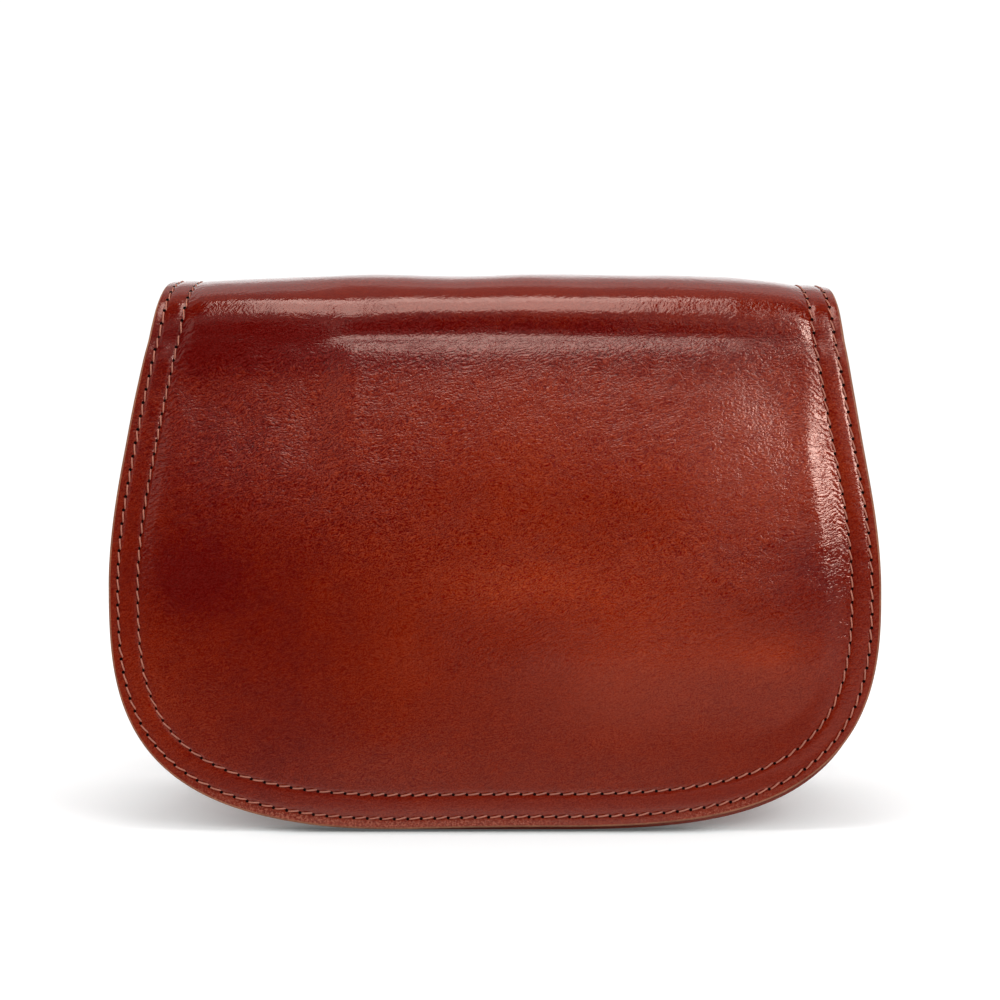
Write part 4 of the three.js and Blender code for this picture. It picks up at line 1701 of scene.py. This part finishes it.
@dataclass
class StrapHolder:
    """A folded leather tab on the gusset with a ring in its loop."""

    pouch: Pouch
    outline: Outline
    drape: Drape
    shift: Vector
    side: Side
    tab_width: float = 16.0
    layer: float = 2.0
    straight: float = 24.0
    loop_gap: float = 0.4
    loop_turn: float = 60.0
    loop_foot: float = 6.5
    seat: float = 0.4
    loop_height: float = 145.0
    web_inset: float = 9.5
    wire: float = 3.0
    ring_half: float = 11.5
    ring_drop: float = 17.0
    ring_corner: float = 2.5
    ring_lean: float = 8.5
    ring_step: float = 0.7
    layer_gap: float = 0.04
    row_below: float = 7.0
    row_step: float = 0.8

    @property
    def loop_middle(self) -> float:
        """Radius of the loop at the middle of its leather."""
        return self.wire / 2 + self.loop_gap + self.layer / 2

    def place(self) -> Matrix:
        """Turns a point of the tab, in millimetres, to its place on the bag in metres.

        Returns:
            The move.
        """
        foot = self.loop_height - self.straight
        face_inset = self.web_inset - self.pouch.body_thickness / 2 - self.seat
        low, high = (float(self.outline.half_width(z, self.drape.top)) - face_inset for z in (foot, self.loop_height))
        lean = Matrix.Rotation(-math.atan((low - high) / self.straight), 4, "Y")
        seat = Matrix.Translation((low, 0, foot)) @ lean
        turn = Matrix.Rotation(self.side.turn, 4, "Z")
        return Matrix.Translation(self.shift) @ Matrix.Scale(MM, 4) @ turn @ seat

    def moved(self, points: np.ndarray, matrix: Matrix) -> np.ndarray:
        """Points after a move."""
        return np.array([matrix @ Vector(point) for point in points])

    def strip_line(self) -> np.ndarray:
        """The folded strip seen from its side, as (out, up) points: up the inner layer and down the outer.

        Returns:
            Points along the strip.
        """
        centre = self.loop_middle + self.layer / 2
        angles = np.radians(np.linspace(180, -self.loop_turn, 26))
        radius = self.loop_middle
        loop = np.stack([centre + radius * np.cos(angles), self.straight + radius * np.sin(angles)], 1)
        half, outer = self.layer / 2, 1.5 * self.layer
        up = np.stack([np.full(14, half), np.linspace(0, self.straight, 15)[:-1]], 1)
        steep = 1 / math.tan(math.radians(self.loop_turn))
        meet = np.array([outer, loop[-1, 1] - (loop[-1, 0] - outer) * steep])
        flat = np.array([outer, self.straight - self.loop_foot])
        share = np.linspace(0, 1, 9)[1:, None]
        ease = (1 - share) ** 2 * loop[-1] + 2 * share * (1 - share) * meet + share**2 * flat
        down = np.stack([np.full(12, outer), np.linspace(flat[1], 0, 13)[1:]], 1)
        return np.concatenate([up, loop, ease, down])

    def build_tab(self, finishes: Finishes) -> bpy.types.Object:
        """Makes the folded tab.

        Args:
            finishes: the bag's materials.

        Returns:
            The piece.
        """
        line = self.strip_line()
        across = np.linspace(-self.tab_width / 2, self.tab_width / 2, 9)
        points = np.array([(out, y, up) for out, up in line for y in across])
        grid = self.moved(points, self.place()).reshape(len(line), len(across), 3)
        name = f"tab_{self.side.label}"
        piece = leather_wall(name, grid, self.layer - self.layer_gap, finishes.leather())
        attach(piece, BODY)
        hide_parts(f"strap_tab_{self.side.label}")
        return piece

    def rows(self, inset: float = 2.4) -> list[SewnPath]:
        """A rectangle of stitches that closes the tab below its loop.

        Args:
            inset: distance of the stitches from the tab's edges.

        Returns:
            The line to sew along.
        """
        edge, top = self.tab_width / 2 - inset, self.straight - self.row_below
        corners = np.array([(-edge, inset), (edge, inset), (edge, top), (-edge, top), (-edge, inset)])
        loop = even_steps(corners, self.row_step)[:-1]
        face = 2 * self.layer + ROW_LIFT
        points = self.moved(np.array([(face, y, up) for y, up in loop]), self.place())
        out = (self.place().to_3x3() @ Vector((1, 0, 0))).normalized()
        return [SewnPath(points, np.tile(np.array(out), (len(points), 1)), True)]

    def build_ring(self, finishes: Finishes, sides: int = 18) -> bpy.types.Object:
        """Makes the ring: a straight bar in the loop and a round bow below it.

        Args:
            finishes: the bag's materials.
            sides: flat sides round the wire.

        Returns:
            The piece.
        """
        half, corner, bow = self.ring_half, self.ring_corner, self.ring_half - self.ring_drop
        quarter = np.linspace(0, np.pi / 2, 9)
        right = [(half - corner + corner * math.sin(a), -corner + corner * math.cos(a)) for a in quarter]
        arc = [(half * math.cos(a), bow + half * math.sin(a)) for a in np.linspace(0, -np.pi, 37)]
        left = [(-y, up) for y, up in reversed(right)]
        line = even_steps(np.array([(corner - half, 0), *right, *arc, *left]), self.ring_step)[:-1]
        tangent = np.roll(line, -1, 0) - np.roll(line, 1, 0)
        tangent /= np.linalg.norm(tangent, axis=1)[:, None]
        outward = np.stack([-tangent[:, 1], tangent[:, 0]], 1)
        angles = np.linspace(0, 2 * np.pi, sides, endpoint=False)
        reach = outward[:, None, :] * (np.cos(angles) * self.wire / 2)[None, :, None] + line[:, None, :]
        out = np.broadcast_to(np.sin(angles) * self.wire / 2, reach.shape[:2])
        points = np.stack([out, reach[:, :, 0], reach[:, :, 1]], 2).reshape(-1, 3)
        hang = Matrix.Translation((self.loop_middle + self.layer / 2, 0, self.straight))
        hang = hang @ Matrix.Rotation(-math.radians(self.ring_lean), 4, "Y")
        count = len(line)
        faces = []
        for i in range(count):
            ring, following = i * sides, (i + 1) % count * sides
            for k in range(sides):
                after = (k + 1) % sides
                faces.append((ring + k, ring + after, following + after, following + k))
        name = f"ring_{self.side.label}"
        piece = new_piece(name, new_mesh(name, self.moved(points, self.place() @ hang), faces), [finishes.ring])
        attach(piece, BODY)
        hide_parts(f"strap_ring_{self.side.label}")
        return piece


@dataclass
class Snap:
    """Hidden snap between the flap and the front wall."""

    panel: FrontPanel
    shift: Vector
    height: float = 60.0
    radius: float = 9.0
    cap_radius: float = 7.0
    thickness: float = 3.1
    bevel: float = 0.4
    sharp_angle: float = 50.0

    def profile(self) -> list[tuple[float, float]]:
        """Radius and distance from the wall, from the middle of the seat to the middle of the cap.

        Returns:
            Rows of the two numbers.
        """
        step, edge = self.thickness / 2, self.bevel
        return [
            (0.0, 0.0), (self.radius - edge, 0.0), (self.radius, edge), (self.radius, step - edge),
            (self.radius - edge, step), (self.cap_radius + edge, step), (self.cap_radius, step + edge),
            (self.cap_radius, self.thickness - edge), (self.cap_radius - edge, self.thickness), (0.0, self.thickness),
        ]

    def build(self, finishes: Finishes, steps: int = 48) -> bpy.types.Object:
        """Makes the snap.

        Args:
            finishes: the bag's materials.
            steps: steps round the snap.

        Returns:
            The piece.
        """
        pouch = self.panel.pouch
        seat = float(self.panel.depth(np.array(0.0), np.array(self.height))) - pouch.body_thickness / 2 - pouch.seam_gap
        profile = self.profile()
        turns = np.linspace(0, 2 * np.pi, steps, endpoint=False)
        rings = [
            (radius * math.cos(turn), seat - away, self.height + radius * math.sin(turn))
            for radius, away in profile[1:-1]
            for turn in turns
        ]
        points = np.array([(0, seat, self.height), *rings, (0, seat - self.thickness, self.height)])
        last, wide = len(points) - 1, len(profile) - 2
        faces = []
        for k in range(steps):
            after = (k + 1) % steps
            faces.append((0, 1 + after, 1 + k))
            faces += [
                (1 + i * steps + k, 1 + i * steps + after, 1 + (i + 1) * steps + after, 1 + (i + 1) * steps + k)
                for i in range(wide - 1)
            ]
            faces.append((last, 1 + (wide - 1) * steps + k, 1 + (wide - 1) * steps + after))
        mesh = new_mesh("snap", points * MM + np.array(self.shift), faces)
        mesh.set_sharp_from_angle(angle=math.radians(self.sharp_angle))
        piece = new_piece("snap", mesh, [finishes.snap])
        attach(piece, BODY)
        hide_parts("magnetic_snap")
        return piece


# The studio


@dataclass(frozen=True)
class SoftLight:
    """A soft box: where it stands, what it faces, its size in metres and its brightness."""

    name: str
    place: tuple[float, float, float]
    faces: tuple[float, float, float]
    size: tuple[float, float]
    brightness: float
    sheen_only: bool = False

    def build(self) -> bpy.types.Object:
        """Sets up the light.

        Returns:
            The light.
        """
        lamp = bpy.data.lights.new(self.name, "AREA")
        lamp.shape = "RECTANGLE"
        lamp.size, lamp.size_y = self.size
        lamp.energy = self.brightness * math.pi * self.size[0] * self.size[1]
        holder = bpy.data.objects.new(self.name, lamp)
        holder.location = self.place
        holder.rotation_euler = (Vector(self.faces) - Vector(self.place)).to_track_quat("-Z", "Y").to_euler()
        holder.visible_camera = False
        holder.visible_diffuse = not self.sheen_only
        bpy.context.scene.collection.objects.link(holder)
        return holder


@dataclass(frozen=True)
class Studio:
    """Camera, pale floor, soft boxes and the room's light."""

    lens: float = 85.0
    sensor: float = 36.0
    distance: float = 0.825
    elevation: float = 8.0
    target: tuple[float, float, float] = (0.0013, 0.0, 0.109)
    floor_size: float = 9.0
    card_fade: float = 0.12
    # Darker, cooler grey painted on the floor where the bag shades it.
    shade: Colour = (0.91, 0.965, 0.97, 1)
    shade_reach: float = 0.11
    # Reach of the black contact shadow painted at the bag's hem.
    contact_shadow_reach: float = 0.010
    # Strength of a glow painted into the floor's shadow, which lightens it.
    lift: float = 0.10
    glow: Colour = (0.97, 1, 0.99, 1)
    floor_shades: tuple[float, float] = (0.96, 0.97)
    sky: float = 1.09
    cards: tuple[tuple[str, float, tuple[float, float], tuple[float, float]], ...] = (
        ("near card", -4.0, (-0.28, -0.05), (0.01, 0.17)),
        ("dark card", -4.0, (-4.5, -0.28), (0.01, 0.01)),
        ("right card", -0.06, (-0.72, -0.10), (0.36, 0.46)),
    )
    lights: tuple[SoftLight, ...] = (
        SoftLight("overhead box", (-0.03, -0.21, 1.05), (-0.03, -0.21, 0.0), (0.44, 0.22), 7.0),
        SoftLight("front box", (-0.03, -0.594, 1.0), (-0.03, -0.02, 0.18), (0.44, 0.54), 5.3, sheen_only=True),
        SoftLight("right strip", (0.79, -0.62, 0.42), (0.1, -0.04, 0.14), (0.46, 0.30), 18.0, sheen_only=True),
        SoftLight("high strip", (0.593, -0.67, 0.74), (0.1, -0.04, 0.14), (0.36, 0.42), 4.0),
        SoftLight("right glow", (0.553, -1.21, 0.38), (0.08, -0.04, 0.12), (0.34, 0.16), 2.3, sheen_only=True),
        SoftLight("middle glow", (0.277, -1.268, 0.47), (0.06, -0.04, 0.13), (0.27, 0.16), 1.1, sheen_only=True),
        SoftLight("front glow", (0.045, -1.24, 0.89), (0.01, -0.04, 0.15), (1.60, 0.64), 0.42, sheen_only=True),
        SoftLight("left strip", (-0.924, -0.809, 0.55), (-0.1, -0.04, 0.14), (0.53, 0.65), 0.9, sheen_only=True),
        SoftLight("ceiling", (0.0, 0.37, 1.42), (0.0, 0.0, 0.18), (3.0, 0.9), 0.42, sheen_only=True),
        SoftLight("low wall", (0.0, 1.6, 0.40), (0.0, 0.0, 0.40), (4.0, 0.86), 1.3, sheen_only=True),
        SoftLight("high wall", (0.0, 1.3, 1.3), (0.0, 0.0, 0.2), (3.0, 1.3), 0.75, sheen_only=True),
    )

    def camera(self) -> bpy.types.Object:
        """Places the camera at the photograph's viewing angle.

        Returns:
            The camera.
        """
        data = bpy.data.cameras.new("camera")
        data.lens, data.sensor_width = self.lens, self.sensor
        angle = math.radians(self.elevation)
        ahead = Vector((0, math.cos(angle), -math.sin(angle)))
        camera = bpy.data.objects.new("camera", data)
        camera.location = Vector(self.target) - ahead * self.distance
        camera.rotation_euler = ahead.to_track_quat("-Z", "Y").to_euler()
        bpy.context.scene.collection.objects.link(camera)
        bpy.context.scene.camera = camera
        return camera

    def slab(
        self,
        name: str,
        left: float,
        along: tuple[float, float],
        z: float,
        shades: tuple[float, float],
        fade: float = 0.0,
    ) -> bpy.types.Object:
        """Lays a flat slab across the studio, with painted shadow where things occlude it and, on the floor, a painted
        glow that lightens that shadow.

        Args:
            name: the slab's name.
            left: its left edge.
            along: depth of its front edge and of its back edge.
            z: its height.
            shades: grey at its front edge and at its back edge.
            fade: width of its dark left rim.

        Returns:
            The slab.
        """
        graph, material, surface = NodeGraph.of_material(name)
        place = graph.add("ShaderNodeTexCoord").outputs["Object"]
        axes = graph.add("ShaderNodeSeparateXYZ", {0: place}).outputs
        greys = [(grey, grey, grey, 1) for grey in shades]
        dark = (0.01, 0.01, 0.01, 1)
        grey = graph.mix(graph.ramp(axes["Y"], *along), *greys)
        if fade:
            grey = graph.mix(graph.ramp(axes["X"], left, left + fade), dark, grey)
        # Painted shadow: where things occlude the slab its grey turns to the darker, cooler shade colour.
        shade = graph.add("ShaderNodeAmbientOcclusion", {"Distance": self.shade_reach}, samples=8).outputs["AO"]
        grey = graph.mix(graph.ramp(shade, 0.25, 0.92), self.shade, grey)
        # Painted contact shadow: black where the slab is tightly hemmed in, right under the bag's edge.
        contact_shadow = graph.add("ShaderNodeAmbientOcclusion", {"Distance": self.contact_shadow_reach}, samples=8).outputs["AO"]
        graph.tree.links.new(graph.mix(graph.ramp(contact_shadow, 0.25, 0.70), dark, grey), surface.inputs["Base Color"])
        # Painted light: the floor glows faintly where it is shaded, so that its shadow is paler; it is no lamp.
        if not fade:
            graph.tree.links.new(graph.ramp(shade, 0.45, 0.98, self.lift, 0), surface.inputs["Emission Strength"])
            surface.inputs["Emission Color"].default_value = self.glow
        surface.inputs["Roughness"].default_value = 0.9
        surface.inputs["Specular IOR Level"].default_value = 0.0
        near, far = along
        right = self.floor_size / 2
        corners = np.array([(left, near, z), (right, near, z), (right, far, z), (left, far, z)])
        slab = new_piece(name, new_mesh(name, corners, [(0, 1, 2, 3)]), [material])
        return slab

    def floor(self) -> None:
        """Lays a pale floor, and dark cards in front that only show in the leather's sheen."""
        half = self.floor_size / 2
        self.slab("floor", -half, (-half, half), 0.0, self.floor_shades)
        for k, (name, left, along, shades) in enumerate(self.cards):
            card = self.slab(name, left, along, (1.0 + 0.5 * k) * MM, shades, self.card_fade)
            card.visible_camera = card.visible_diffuse = card.visible_shadow = False

    def room(self) -> None:
        """Lights the room with an even white sky that stays out of the leather's sheen."""
        world = bpy.data.worlds.new("studio room")
        world.use_nodes = True
        graph = NodeGraph(world.node_tree)
        sky = graph.add("ShaderNodeBackground", {"Color": (1, 1, 1, 1), "Strength": self.sky})
        graph.add("ShaderNodeOutputWorld", {"Surface": sky.outputs[0]})
        world.cycles_visibility.glossy = False
        bpy.context.scene.world = world

    def build(self) -> None:
        """Sets up the whole studio."""
        self.camera()
        self.floor()
        self.room()
        for light in self.lights:
            light.build()
        bpy.context.scene.view_settings.view_transform = "Standard"


def main() -> None:
    """Builds the bag piece by piece and sets it in the studio."""
    logging.basicConfig(level=logging.INFO, format="%(message)s")
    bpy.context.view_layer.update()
    Studio().build()

    low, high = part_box("gusset")
    shift = Vector(((low[0] + high[0]) / 2, (low[1] + high[1]) / 2, 0.0))
    pouch, outline = Pouch(), Outline()
    drape = Drape(pouch)
    finishes = Finishes.make()
    sewing = Sewing()

    hide = Hide(pouch, outline, drape, shift)
    panel = FrontPanel(pouch, outline, drape, shift)
    gusset = Gusset(pouch, outline, drape, shift)
    pieces = [hide.build(finishes), panel.build(finishes), gusset.build(finishes)]
    pieces += sewing.dress("hide", hide.rows(), finishes)
    pieces += sewing.dress("pouch", panel.rows() + gusset.rows(), finishes)
    for side in Side:
        holder = StrapHolder(pouch, outline, drape, shift, side)
        pieces += [holder.build_tab(finishes), holder.build_ring(finishes)]
        pieces += sewing.dress(f"tab_{side.label}", holder.rows(), finishes)
    pieces.append(Snap(panel, shift).build(finishes))

    for piece in pieces:
        log.info("%s: %d faces", piece.name, len(piece.data.polygons))


if __name__ == "__main__":
    main()
